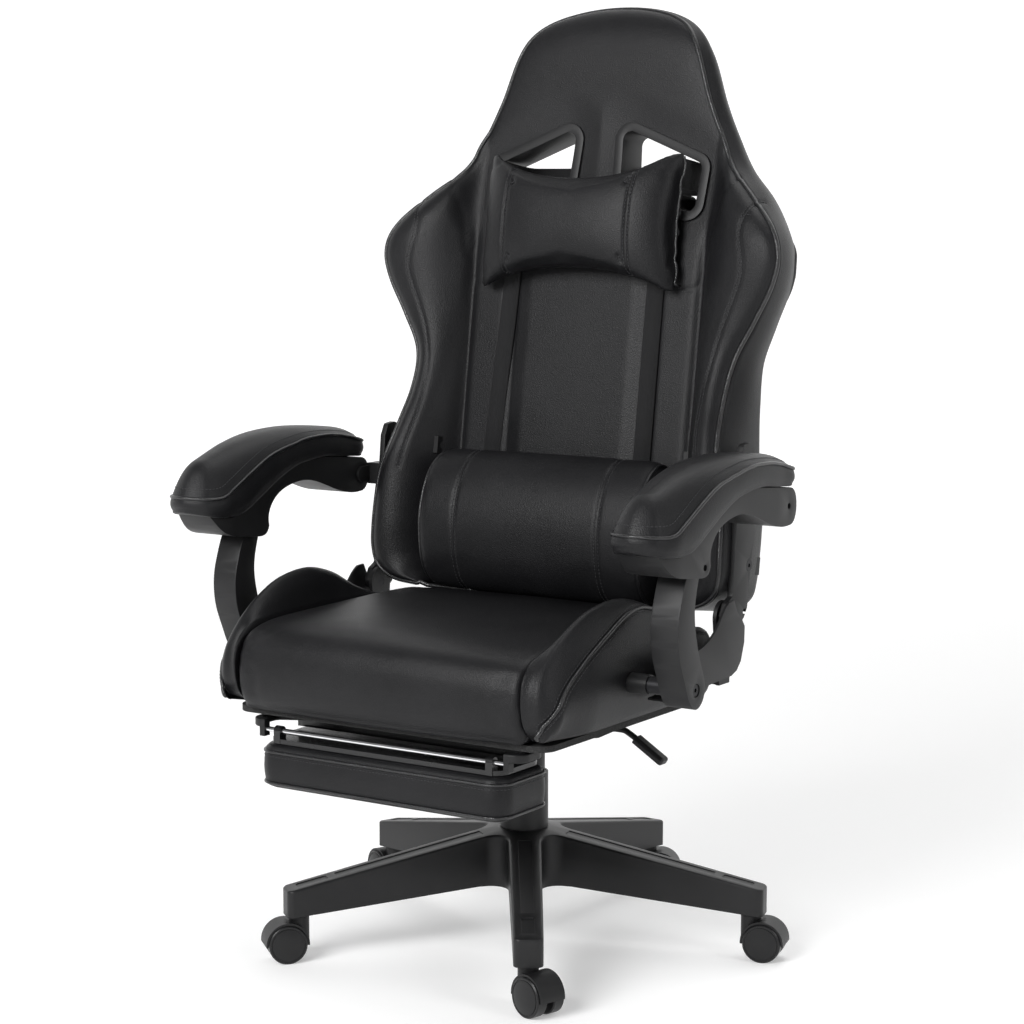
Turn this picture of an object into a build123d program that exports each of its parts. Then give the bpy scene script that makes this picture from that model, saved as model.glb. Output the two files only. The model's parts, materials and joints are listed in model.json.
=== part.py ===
from build123d import *
import os
from math import atan2, cos, degrees, radians, sin

# A gaming chair. Millimetres. +Z is up, the floor is Z = 0, the gas column stands
# on the Z axis and the sitter faces -Y. +X is on the left of the sitter.

# ---- Driving dimensions -------------------------------------------------------
FIT = 0.06                      # radial clearance of every running fit

# Five-star base and casters
ARM_COUNT = 5
FIRST_ARM = -56.0               # direction of the front arm, degrees from +X
ARM_REACH = 338.0
ARM_ROOT_HALF, ARM_TIP_HALF = 23.0, 19.0
HUB_TOP, HUB_BOTTOM, HUB_RADIUS = 158.0, 83.0, 37.0
TIP_TOP, TIP_BOTTOM = 97.0, 61.0
CASTER_REACH = 319.0
STEM_RADIUS, STEM_TOP = 5.5, 82.0
WHEEL_RADIUS, WHEEL_INNER, WHEEL_CAP = 26.0, 5.5, 24.2
AXLE_RADIUS, AXLE_END, TRAIL = 4.0, 18.0, 19.0
CASTER_TURN = (-17.0, 14.0, 25.0, 156.0, -130.0)   # swivel of each caster at rest

# Gas lift
COLUMN_RADIUS, COLUMN_WALL, COLUMN_TOP = 24.95, 2.45, 262.0
CYLINDER_RADIUS, CYLINDER_TOP = 14.0, 316.0
ROD_RADIUS = 5.0
COVER_RADIUS, COVER_TOP = 33.0, 235.0
MECH_BOTTOM = 280.0

# Seat
SEAT_FRONT, SEAT_REAR = -349.0, 68.0
CUSHION_HALF, SEAT_HALF = 220.5, 275.0
PAN_BOTTOM, PAN_TOP = 348.0, 356.0
TUBE = 20.0                     # square steel tube of the seat and back frames

# Parallel arm linkage, as (Y, Z): foot, top of the leg, rear of the armrest, recline axis
FOOT_PIVOT = (-173.0, 415.0)
LEG_PIVOT = (-178.0, 569.0)
REAR_PIVOT = (43.0, 622.0)
RECLINE_AXIS = (48.0, 468.0)
LEG_INNER, LEG_OUTER = 325.5, 364.5
SHELL_INNER, SHELL_OUTER = 310.0, 378.0
PAD_CENTRE = 345.0
ARM_BOLT, RECLINE_BOLT, BRACKET_BOLT = 6.0, 7.0, 5.0   # radii
THREAD_FIT = 0.02               # radial gap of a bolt in its thread
FOAM_GAP = 0.3                  # gap between a tube and its channel in the foam
SKIN_GAP = 0.7                  # gap between neighbouring cushions

# Backrest: a plane leaning back, with v up the lean and w forward from the rear face
LEAN_RISE, LEAN_RUN = 1.0, 0.15
LEAN = degrees(atan2(LEAN_RUN, LEAN_RISE))
BACK_ORIGIN = (0, 150, 500)

# Footrest
ROD_Y, ROD_Z, FOOT_HALF = -327.0, 330.0, 190.0
SLIDE_X, SLIDE_Z = 135.0, 338.0

lean_sin, lean_cos = sin(radians(LEAN)), cos(radians(LEAN))
BACK = Plane(origin=BACK_ORIGIN, x_dir=(1, 0, 0), z_dir=(0, -lean_cos, lean_sin))
BACK_SIDE = Plane(origin=BACK_ORIGIN, x_dir=(0, lean_sin, lean_cos), z_dir=(1, 0, 0))

os.makedirs("parts", exist_ok=True)


def save(part, name):
    part.label = name
    export_step(part, f"parts/{name}.step")


def side_plane(x):
    """The YZ plane at X = x, with sketch axes Y and Z."""
    return Plane.YZ.offset(x)


# ---- Five-star base -----------------------------------------------------------
def arm_plan(r_start, r_end, half_start, half_end):
    """One arm's outline, seen from above and pointing along the local X axis."""
    Polygon(
        (r_start, -half_start), (r_end, -half_end), (r_end, half_end), (r_start, half_start),
        align=None,
    )


def skin_profile(drop_top, raise_bottom):
    """Half a section through the base's top and bottom skins, in the XZ plane."""
    Polygon(
        (0, HUB_BOTTOM + raise_bottom), (0, HUB_TOP - drop_top), (HUB_RADIUS, HUB_TOP - drop_top),
        (ARM_REACH + 5, TIP_TOP - drop_top), (ARM_REACH + 5, TIP_BOTTOM + raise_bottom),
        (HUB_RADIUS + 40, HUB_BOTTOM + raise_bottom), align=None,
    )


# The hollows under each arm leave cross ribs between them.
with BuildPart() as arm_pockets:
    with BuildSketch(Plane.XY.offset(50)):
        with PolarLocations(0, ARM_COUNT, start_angle=FIRST_ARM):
            for start, end in ((52, 126), (132, 206), (212, 288)):
                arm_plan(start, end, 16.5, 15.0)
    extrude(amount=120)
    with BuildSketch(Plane.XZ):
        skin_profile(5.0, -30.0)
    revolve(axis=Axis.Z, mode=Mode.INTERSECT)

# A shallow panel runs along the top of each arm, with a short inset near its end.
with BuildPart() as arm_panels:
    with BuildSketch(Plane.XY.offset(50)):
        with PolarLocations(0, ARM_COUNT, start_angle=FIRST_ARM):
            arm_plan(62, 268, 9.5, 8.5)
            with Locations((301, 0)):
                RectangleRounded(42, 17, 4)
    extrude(amount=130)
    with BuildSketch(Plane.XZ):
        skin_profile(1.2, -60.0)
    revolve(axis=Axis.Z, mode=Mode.SUBTRACT)

with BuildPart() as star_base:
    with BuildSketch(Plane.XY.offset(50)) as star_plan:
        Circle(HUB_RADIUS)
        with PolarLocations(0, ARM_COUNT, start_angle=FIRST_ARM):
            arm_plan(0, ARM_REACH, ARM_ROOT_HALF, ARM_TIP_HALF)
        by_radius = star_plan.vertices().sort_by(lambda v: Vector(v.X, v.Y, 0).length)
        fillet(by_radius[:ARM_COUNT], 24)
        by_radius = star_plan.vertices().sort_by(lambda v: Vector(v.X, v.Y, 0).length)
        fillet(by_radius[-2 * ARM_COUNT:], 9)
    extrude(amount=130)
    with BuildSketch(Plane.XZ):
        skin_profile(0, 0)
    revolve(axis=Axis.Z, mode=Mode.INTERSECT)
    top_edges = star_base.faces().sort_by(lambda f: f.normal_at().Z)[-2:].edges()
    fillet(top_edges, 3.5)
    add(arm_panels.part, mode=Mode.SUBTRACT)
    add(arm_pockets.part, mode=Mode.SUBTRACT)
    with Locations((0, 0, HUB_BOTTOM - 20)):
        Cylinder(
            COLUMN_RADIUS + 0.05, 120, align=(Align.CENTER, Align.CENTER, Align.MIN),
            mode=Mode.SUBTRACT,
        )
    with BuildSketch(Plane.XY.offset(50)):
        with PolarLocations(CASTER_REACH, ARM_COUNT, start_angle=FIRST_ARM):
            Circle(STEM_RADIUS + FIT)
    extrude(amount=STEM_TOP + 2 - 50, mode=Mode.SUBTRACT)
save(star_base.part, "star_base")


# ---- Casters ------------------------------------------------------------------
# Built with the stem on the Z axis and the wheels trailing along +X.
AXLE = Plane(origin=(TRAIL, 0, WHEEL_RADIUS), x_dir=(1, 0, 0), z_dir=(0, 1, 0))

with BuildPart() as caster_hood:
    with BuildSketch(AXLE):
        Circle(WHEEL_RADIUS + 3.5)
    extrude(amount=19.5, both=True)
    with BuildSketch():
        Circle(13.5)
    extrude(amount=TIP_BOTTOM - 0.5)
    with Locations((TRAIL, 0, WHEEL_RADIUS - 2)):
        Box(90, 60, 40, align=(Align.CENTER, Align.CENTER, Align.MAX), mode=Mode.SUBTRACT)
    with BuildSketch(AXLE):
        Circle(14)
    extrude(amount=4.5, both=True)
    with BuildSketch(AXLE.offset(4.9)):
        Circle(WHEEL_RADIUS + 0.6)
    extrude(amount=30, mode=Mode.SUBTRACT)
    with BuildSketch(AXLE.offset(-4.9)):
        Circle(WHEEL_RADIUS + 0.6)
    extrude(amount=-30, mode=Mode.SUBTRACT)
    with BuildSketch(AXLE):
        Circle(AXLE_RADIUS + THREAD_FIT)
    extrude(amount=10, both=True, mode=Mode.SUBTRACT)
    with BuildSketch(Plane.XY.offset(WHEEL_RADIUS + 14)):
        Circle(STEM_RADIUS + THREAD_FIT)
    extrude(amount=40, mode=Mode.SUBTRACT)

with BuildPart() as caster_pins:
    with BuildSketch(Plane.XY.offset(WHEEL_RADIUS + 14.5)):
        Circle(STEM_RADIUS)
    extrude(amount=STEM_TOP - WHEEL_RADIUS - 14.5)
    chamfer(caster_pins.edges().sort_by(Axis.Z)[-1], 1)
    with BuildSketch(AXLE):
        Circle(AXLE_RADIUS)
    extrude(amount=AXLE_END, both=True)

with BuildPart() as one_wheel:
    with BuildSketch(Plane.XY):
        with BuildLine():
            Polyline(
                (AXLE_RADIUS + FIT, WHEEL_INNER), (24.5, WHEEL_INNER), (WHEEL_RADIUS, 7),
                (WHEEL_RADIUS, 20.8), (24.8, 22), (23.0, 22), (22.8, 21.3), (22.0, 21.3),
                (21.8, 22.2),
            )
            ThreePointArc((21.8, 22.2), (13, 23.6), (4, WHEEL_CAP))
            Polyline((4, WHEEL_CAP), (0, WHEEL_CAP), (0, AXLE_END + 0.6),
                     (AXLE_RADIUS + FIT, AXLE_END + 0.6), (AXLE_RADIUS + FIT, WHEEL_INNER))
        make_face()
    revolve(axis=Axis.Y)

with BuildPart() as caster_wheels:
    add(one_wheel.part)
    add(one_wheel.part, rotation=(0, 0, 180))

axle_shift = Location((TRAIL, 0, WHEEL_RADIUS))
for number in range(ARM_COUNT):
    direction = radians(FIRST_ARM + number * 360 / ARM_COUNT)
    stand = Location(
        (CASTER_REACH * cos(direction), CASTER_REACH * sin(direction), 0),
        (0, 0, CASTER_TURN[number]),
    )
    save(caster_hood.part.moved(stand), f"caster_hood_{number + 1}")
    save(caster_pins.part.moved(stand), f"caster_pins_{number + 1}")
    save(caster_wheels.part.moved(stand * axle_shift), f"caster_wheels_{number + 1}")


# ---- Gas lift -----------------------------------------------------------------
def turned(*outline):
    """A turned part from its half section in the XZ plane."""
    with BuildPart() as piece:
        with BuildSketch(Plane.XZ):
            Polygon(*outline, align=None)
        revolve(axis=Axis.Z)
    return piece.part


column_inner = COLUMN_RADIUS - COLUMN_WALL
save(turned(
    (ROD_RADIUS + FIT, 70), (COLUMN_RADIUS, 70), (COLUMN_RADIUS, COLUMN_TOP),
    (column_inner, COLUMN_TOP), (column_inner, 76), (ROD_RADIUS + FIT, 76),
), "column_tube")
save(turned(
    (CYLINDER_RADIUS + FIT, 190), (column_inner - 0.05, 190), (column_inner - 0.05, COLUMN_TOP + 0.1),
    (COLUMN_RADIUS, COLUMN_TOP + 0.1), (COLUMN_RADIUS - 1, COLUMN_TOP + 2.5),
    (CYLINDER_RADIUS + FIT, COLUMN_TOP + 2.5),
), "guide_bush")
save(turned(
    (COLUMN_RADIUS + 0.2, HUB_TOP + 0.1), (COVER_RADIUS, HUB_TOP + 0.1), (COVER_RADIUS, COVER_TOP),
    (COVER_RADIUS - 2.5, COVER_TOP), (COVER_RADIUS - 2.5, HUB_TOP + 2.6),
    (COLUMN_RADIUS + 0.2, HUB_TOP + 2.6),
), "dust_cover")
save(turned(
    (0, 64), (8, 64), (8, 69.5), (ROD_RADIUS, 69.5), (ROD_RADIUS, 76.5), (9, 76.5), (9, 81),
    (ROD_RADIUS, 81), (ROD_RADIUS, 180), (11.9, 180), (11.9, 192), (0, 192),
), "piston_rod")
save(turned(
    (ROD_RADIUS + FIT, 84), (CYLINDER_RADIUS - 1, 84), (CYLINDER_RADIUS, 85), (CYLINDER_RADIUS, 284),
    (CYLINDER_RADIUS - 0.8, CYLINDER_TOP), (4, CYLINDER_TOP), (4, CYLINDER_TOP + 5),
    (0, CYLINDER_TOP + 5), (0, 276), (12, 276), (12, 94), (ROD_RADIUS + FIT, 94),
), "gas_cylinder")
save(turned(
    (26.2, 166), (28.5, 166), (28.5, MECH_BOTTOM - 4), (34, MECH_BOTTOM - 4),
    (34, MECH_BOTTOM - 0.1), (26.2, MECH_BOTTOM - 0.1),
), "upper_cover")


# ---- Tilt mechanism -----------------------------------------------------------
TILT_PIVOT = (-60.0, 316.0)
HOUSING_HALF = 62.0

with BuildPart() as mechanism_housing:
    with BuildSketch(Plane.YZ) as housing_side:
        Polygon(
            (-95, 286), (-80, MECH_BOTTOM), (50, MECH_BOTTOM), (62, 290), (62, 313),
            (-38, 333), (-88, 333), (-95, 326), align=None,
        )
    extrude(amount=HOUSING_HALF, both=True)
    fillet(mechanism_housing.edges().filter_by(Axis.Z), 8)
    with BuildSketch(Plane.XY.offset(MECH_BOTTOM - 5)):
        Circle(CYLINDER_RADIUS + 0.05)
    extrude(amount=70, mode=Mode.SUBTRACT)
    with BuildSketch(Plane.YZ):
        with Locations(TILT_PIVOT):
            Circle(6.05)
    extrude(amount=100, both=True, mode=Mode.SUBTRACT)
    # The lever's socket on the +X side, and the knob's screw hole in front
    with BuildSketch(Plane.XZ.offset(30)):
        with Locations((54, 299)):
            Rectangle(36, 18)
    extrude(amount=9, both=True, mode=Mode.SUBTRACT)
    with BuildSketch(Plane.XZ.offset(70)):
        with Locations((0, 305)):
            Circle(6.06)
    extrude(amount=40, mode=Mode.SUBTRACT)
save(mechanism_housing.part, "mechanism_housing")

with BuildPart() as tilt_pin:
    with BuildSketch(Plane.YZ.offset(-76)):
        with Locations(TILT_PIVOT):
            Circle(6)
    extrude(amount=152)
    for x_head in (-78.5, 76):
        with BuildSketch(Plane.YZ.offset(x_head)):
            with Locations(TILT_PIVOT):
                Circle(9)
        extrude(amount=2.5)
save(tilt_pin.part, "tilt_pin")

with BuildPart() as tilt_plate:
    with Locations((0, 0, 338.5)):
        Box(160, 200, 9, align=(Align.CENTER, Align.CENTER, Align.MIN))
    for x_ear in (-71, 64.5):
        with BuildSketch(Plane.YZ.offset(x_ear)):
            with Locations(TILT_PIVOT):
                Circle(13)
            with Locations((TILT_PIVOT[0], 330)):
                Rectangle(26, 24)
        extrude(amount=6.5)
    with BuildSketch(Plane.YZ):
        with Locations(TILT_PIVOT):
            Circle(6 + FIT)
    extrude(amount=100, both=True, mode=Mode.SUBTRACT)
save(tilt_plate.part, "tilt_plate")

with BuildPart() as tension_knob:
    with BuildSketch(Plane.XZ.offset(97)):
        with Locations((0, 305)):
            Circle(19)
    extrude(amount=34)
    fillet(tension_knob.edges().sort_by(Axis.Y)[0], 4)
    with BuildSketch(Plane.XZ.offset(97)):
        with Locations((0, 305)):
            with PolarLocations(20.5, 10):
                Circle(3.2)
    extrude(amount=26, mode=Mode.SUBTRACT)
    with BuildSketch(Plane.XZ.offset(75)):
        with Locations((0, 305)):
            Circle(6)
    extrude(amount=24)
save(tension_knob.part, "tension_knob")

# ---- Seat height lever, on the sitter's left ------------------------------------
LEVER_Y = -30.0
LEVER_HINGE = (52.0, 299.0)

with BuildPart() as lever_rod:
    with BuildLine(Plane.XZ.offset(-LEVER_Y)):
        FilletPolyline(
            (41, 297), (100, 301), (136, 306), (160, 318), (178, 318), (193, 310), (222, 292),
            radius=18,
        )
    with BuildSketch(Plane(origin=(41, LEVER_Y, 297), z_dir=(59, 0, 4))):
        Circle(4)
    sweep()
    with BuildSketch(Plane.XZ.offset(-LEVER_Y)):
        with Locations(LEVER_HINGE):
            Circle(6)
    extrude(amount=6.5, both=True)
save(lever_rod.part, "lever_rod")

grip_start, grip_end = Vector(196, LEVER_Y, 308.1), Vector(238, LEVER_Y, 282.1)
GRIP = Plane(origin=grip_start, x_dir=(0, 1, 0), z_dir=grip_end - grip_start)
with BuildPart() as lever_grip:
    with BuildSketch(GRIP):
        RectangleRounded(19, 11.5, 5)
    extrude(amount=50)
    fillet(lever_grip.faces().sort_by(Axis.X)[-1].edges(), 4)
    add(lever_rod.part, mode=Mode.SUBTRACT)
save(lever_grip.part, "lever_grip")

# ---- Seat frame, pan and cushions ---------------------------------------------
FRAME_Z = 378.0


def frame_tube(gap):
    """The square tube ring inside the seat foam, grown by gap on every side."""
    with BuildPart() as ring:
        with BuildSketch(Plane.XY.offset(FRAME_Z - gap)):
            with Locations((0, -127.5)):
                Rectangle(430 + 2 * gap, 375 + 2 * gap)
                Rectangle(390 - 2 * gap, 335 - 2 * gap, mode=Mode.SUBTRACT)
            with Locations((0, -110)):
                Rectangle(400, TUBE + 2 * gap)
        extrude(amount=TUBE + 2 * gap)
    return ring.part


with BuildPart() as seat_frame:
    add(frame_tube(0))
    for side in (-1, 1):
        # Arm boss, on a gusset standing on the side tube
        with Locations((side * 210, FOOT_PIVOT[0], FRAME_Z + TUBE / 2)):
            Box(10, 34, 30, align=(Align.CENTER, Align.CENTER, Align.MIN))
        with BuildSketch(side_plane(side * 206)):
            with Locations(FOOT_PIVOT):
                Circle(13)
        extrude(amount=side * 93.5)
        # Recliner plate, on the end of the rear cross tube
        with Locations((side * 240, 50, FRAME_Z)):
            Box(85, TUBE, TUBE, align=(Align.CENTER, Align.CENTER, Align.MIN))
        with BuildSketch(side_plane(side * 277)):
            with Locations(RECLINE_AXIS):
                Circle(22)
            Polygon(
                (26, RECLINE_AXIS[1]), (36, FRAME_Z), (64, FRAME_Z), (70, RECLINE_AXIS[1]),
                align=None,
            )
        extrude(amount=side * 5.5)
        # Threads for the arm bolt and the recline bolt
        with BuildSketch(side_plane(side * 270)):
            with Locations(FOOT_PIVOT):
                Circle(ARM_BOLT + THREAD_FIT)
        extrude(amount=side * 40, mode=Mode.SUBTRACT)
        with BuildSketch(side_plane(side * 276)):
            with Locations(RECLINE_AXIS):
                Circle(RECLINE_BOLT + THREAD_FIT)
        extrude(amount=side * 10, mode=Mode.SUBTRACT)
save(seat_frame.part, "seat_frame")

with BuildPart() as seat_pan:
    with BuildSketch(Plane.XY.offset(PAN_BOTTOM)):
        with Locations((0, -133)):
            RectangleRounded(484, 384, 25)
    extrude(amount=PAN_TOP - PAN_BOTTOM)
save(seat_pan.part, "seat_pan")

# The foam is moulded round the frame, so it has a channel of the frame's shape.
with BuildPart() as frame_channel:
    add(frame_tube(FOAM_GAP))
    for side in (-1, 1):
        with Locations((side * 213, FOOT_PIVOT[0], FRAME_Z - 1)):
            Box(18, 36, 53, align=(Align.CENTER, Align.CENTER, Align.MIN))
        with Locations((side * 220, 50, FRAME_Z - FOAM_GAP)):
            Box(20, TUBE + 2 * FOAM_GAP, TUBE + 2 * FOAM_GAP,
                align=(Align.CENTER, Align.CENTER, Align.MIN))

with BuildPart() as seat_cushion:
    with BuildSketch(Plane.YZ):
        with BuildLine():
            Polyline(
                (-322, PAN_TOP + 0.2), (SEAT_REAR - 8, PAN_TOP + 0.2), (SEAT_REAR, 364),
                (SEAT_REAR, 438), (40, 464),
            )
            Spline((40, 464), (-100, 468), (-270, 466), (-318, 459), (-342, 440),
                   (SEAT_FRONT, 412), (-348, 385), (-340, 364), (-322, PAN_TOP + 0.2))
        make_face()
    extrude(amount=CUSHION_HALF, both=True)
    add(frame_channel.part, mode=Mode.SUBTRACT)
save(seat_cushion.part, "seat_cushion")

with BuildPart() as bolster:
    with BuildSketch(side_plane(CUSHION_HALF + SKIN_GAP)):
        with BuildLine():
            Spline((34, 448), (-20, 455), (-62, 476), (-110, 501), (-165, 515), (-222, 513),
                   (-272, 492), (-316, 455), (-341, 415), (-345, 385), (-335, 366))
            Polyline((-335, 366), (-322, 362), (30, 368), (34, 374), (34, 448))
        make_face()
    extrude(amount=SEAT_HALF - CUSHION_HALF - SKIN_GAP)
    fillet(bolster.faces().sort_by(Axis.X)[-1].edges().sort_by(Axis.Z)[-1], 16)
    with BuildSketch(side_plane(CUSHION_HALF - 5)):
        with Locations(FOOT_PIVOT):
            Circle(13.6)
    extrude(amount=80, mode=Mode.SUBTRACT)
save(bolster.part, "seat_bolster_right")
save(mirror(bolster.part, about=Plane.YZ), "seat_bolster_left")

# ---- Hinge covers beside the recline axis ---------------------------------------
COVER_IN, COVER_OUT = 299.7, 303.2
RELEASE_AXIS = (-4.0, 424.0)    # the recline release lever, on the sitter's right

with BuildPart() as hinge_covers:
    with BuildSketch(side_plane(COVER_IN)):
        with BuildLine():
            Spline((-142, 449), (-90, 441), (-58, 441), (-30, 449), (-8, 463), (10, 482), (24, 492))
            Polyline(
                (24, 492), (37, 493), (45, 478), (60, 464), (67, 455), (66, 434), (57, 410),
                (46, 399), (31, 394), (-142, 387), (-142, 449),
            )
        make_face()
    extrude(amount=COVER_OUT - COVER_IN)
    fillet(hinge_covers.edges().filter_by(Axis.X).sort_by(Axis.Y)[-4:], 4)
    # Bottom flange and the two fixing bosses that reach the bolster
    with BuildSketch(side_plane(SEAT_HALF + 0.3)):
        Polygon((-138, 387.5), (31, 394.2), (31, 397.2), (-138, 390.5), align=None)
    extrude(amount=COVER_IN - SEAT_HALF)
    with BuildSketch(side_plane(SEAT_HALF + 0.3)):
        with Locations((-120, 400), (10, 408)):
            Circle(6)
    extrude(amount=COVER_IN - SEAT_HALF)
    mirror(about=Plane.YZ)
    with BuildSketch(side_plane(-COVER_OUT - 2)):
        with Locations(RELEASE_AXIS):
            Circle(4 + FIT)
    extrude(amount=20, mode=Mode.SUBTRACT)
save(hinge_covers.part, "hinge_covers")

# ---- Bolts that the arms and the backrest turn on --------------------------------
with BuildPart() as pivot_bolts:
    with BuildSketch(side_plane(272)):
        with Locations(FOOT_PIVOT):
            Circle(ARM_BOLT)
    extrude(amount=89)
    with BuildSketch(side_plane(300)):
        with Locations(FOOT_PIVOT):
            Circle(11)
    extrude(amount=LEG_INNER - 0.4 - 300)
    with BuildSketch(side_plane(360.2)):
        with Locations(FOOT_PIVOT):
            Circle(7.6)
            RegularPolygon(3, 6, mode=Mode.SUBTRACT)
    extrude(amount=3)
    with BuildSketch(side_plane(277.2)):
        with Locations(RECLINE_AXIS):
            Circle(RECLINE_BOLT)
    extrude(amount=18)
    with BuildSketch(side_plane(293.4)):
        with Locations(RECLINE_AXIS):
            Circle(11)
    extrude(amount=5)
    mirror(about=Plane.YZ)
save(pivot_bolts.part, "pivot_bolts")

# ---- Recline release lever, on the sitter's right --------------------------------
with BuildPart() as recline_lever:
    with BuildSketch(side_plane(-COVER_OUT - 0.5)):
        with BuildLine():
            Polyline((-4, 413), (-60, 420), (-112, 424))
            RadiusArc((-112, 424), (-112, 442), 9)
            Polyline((-112, 442), (-60, 436), (-4, 435))
            RadiusArc((-4, 435), (-4, 413), 11)
        make_face()
    extrude(amount=-6)
    fillet(recline_lever.faces().sort_by(Axis.X)[0].edges(), 2)
    with BuildSketch(side_plane(-COVER_OUT - 0.5)):
        with Locations(RELEASE_AXIS):
            Circle(4)
    extrude(amount=12)
save(recline_lever.part, "recline_lever")

# ---- Backrest -----------------------------------------------------------------
# Half outline as (x, v), from the bottom corner up the +X side to the crown.
OUTLINE = (
    (255, -32), (277, -24), (283, -4), (283, 27), (283, 68), (281, 112), (263, 163), (254, 234),
    (259, 291), (291, 351), (315, 391), (322, 430), (301, 471), (258, 514), (217, 553), (190, 600),
    (165, 650), (140, 722), (115, 756), (60, 778), (0, 783),
)
# Front face of the padding as (v, w)
FRONT_FACE = ((-50, 58), (300, 60), (445, 58), (556, 46), (640, 44), (708, 48), (790, 44))
SLOT_CORNERS = ((38, 612), (168, 560), (165, 489), (42, 533))


def back_outline():
    """The backrest's outline in the BACK plane."""
    with BuildSketch(Plane.XY) as outline:
        with BuildLine():
            Spline(*OUTLINE, *[(-x, v) for x, v in OUTLINE[-2::-1]])
            Line((-OUTLINE[0][0], OUTLINE[0][1]), OUTLINE[0])
        make_face()
    return outline.sketch_local


def slots(grow, mode):
    """Both shoulder slots, grown outwards by grow, as faces in the BACK plane."""
    for side in (-1, 1):
        with BuildSketch(Plane.XY, mode=Mode.PRIVATE) as hole:
            Polygon(*[(side * x, v) for x, v in SLOT_CORNERS], align=None)
            fillet(hole.vertices(), 12)
            if grow:
                offset(amount=grow)
        add(hole.sketch_local, mode=mode)


BACK_LEVEL = Plane(origin=BACK_ORIGIN, x_dir=(1, 0, 0), z_dir=(0, lean_sin, lean_cos))


def behind_front_face(lift):
    """Everything between the rear and the front face of the padding, lifted by lift."""
    with BuildPart() as room:
        with BuildSketch(BACK_SIDE):
            with BuildLine():
                Spline(*[(v, w + lift) for v, w in FRONT_FACE])
                Polyline(
                    (FRONT_FACE[-1][0], FRONT_FACE[-1][1] + lift), (FRONT_FACE[-1][0], -20),
                    (FRONT_FACE[0][0], -20), (FRONT_FACE[0][0], FRONT_FACE[0][1] + lift),
                )
            make_face()
        extrude(amount=400, both=True)
    return room.part


def back_tubes(grow):
    """The tube frame inside the backrest's foam, and its side gussets, grown by grow."""
    with BuildPart() as tubes:
        with BuildSketch(BACK.offset(8 - grow)):
            Polygon(
                (-215, 5), (215, 5), (217, 500), (207, 550), (192, 575), (160, 640), (112, 722),
                (-112, 722), (-160, 640), (-192, 575), (-207, 550), (-217, 500), align=None,
            )
            offset(amount=grow, kind=Kind.INTERSECTION)
            offset(amount=-TUBE - 2 * grow, kind=Kind.INTERSECTION, mode=Mode.SUBTRACT)
            with Locations((0, 440)):
                Rectangle(400, TUBE + 2 * grow)
        extrude(amount=TUBE + 2 * grow)
        for side in (-1, 1):
            with BuildSketch(BACK_SIDE.offset(side * 200)):
                with Locations((22.5, 38), (155, 51)):
                    Rectangle(24 + 2 * grow, 58 + 2 * grow)
                with Locations((155, 75)):
                    Rectangle(24 + 2 * grow, 36 + 2 * grow)
            extrude(amount=side * 83.4)
    return tubes.part


BRACKET_BOLTS = ((98.0, 531.0), (92.0, 665.0))
PILLOW_BACK = 68.5

with BuildPart() as back_channel:
    add(back_tubes(FOAM_GAP))

with BuildPart() as back_frame:
    add(back_tubes(0))
    with BuildSketch(side_plane(0)):
        with Locations(*BRACKET_BOLTS):
            Circle(BRACKET_BOLT + THREAD_FIT)
    extrude(amount=400, both=True, mode=Mode.SUBTRACT)
save(back_frame.part, "back_frame")

with BuildPart() as back_cushion:
    with BuildSketch(BACK):
        add(back_outline())
        slots(3.4, Mode.SUBTRACT)
    extrude(amount=80)
    add(behind_front_face(0), mode=Mode.INTERSECT)
    add(back_channel.part, mode=Mode.SUBTRACT)
save(back_cushion.part, "back_cushion")

with BuildPart() as back_rear_panel:
    with BuildSketch(BACK.offset(-2.2)):
        add(back_outline())
        slots(3.4, Mode.SUBTRACT)
    extrude(amount=2)
save(back_rear_panel.part, "back_rear_panel")

with BuildPart() as back_centre_pad:
    with BuildSketch(BACK.offset(50)):
        with Locations((0, 217)):
            RectangleRounded(196, 350, 18)
    extrude(amount=PILLOW_BACK - SKIN_GAP - 50)
    add(behind_front_face(0.5), mode=Mode.SUBTRACT)
save(back_centre_pad.part, "back_centre_pad")

# Plastic surrounds of the shoulder slots: a sleeve with a flange on each face
with BuildPart() as bezel_room:
    with BuildSketch(BACK.offset(-2.5)):
        slots(20, Mode.ADD)
        slots(3, Mode.SUBTRACT)
    extrude(amount=80)
    add(behind_front_face(0.3), mode=Mode.INTERSECT)

with BuildPart() as slot_bezels:
    with BuildSketch(BACK.offset(-5.5)):
        slots(13, Mode.ADD)
        slots(0, Mode.SUBTRACT)
    extrude(amount=100)
    add(behind_front_face(5), mode=Mode.INTERSECT)
    add(bezel_room.part, mode=Mode.SUBTRACT)
save(slot_bezels.part, "slot_bezels")

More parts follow.
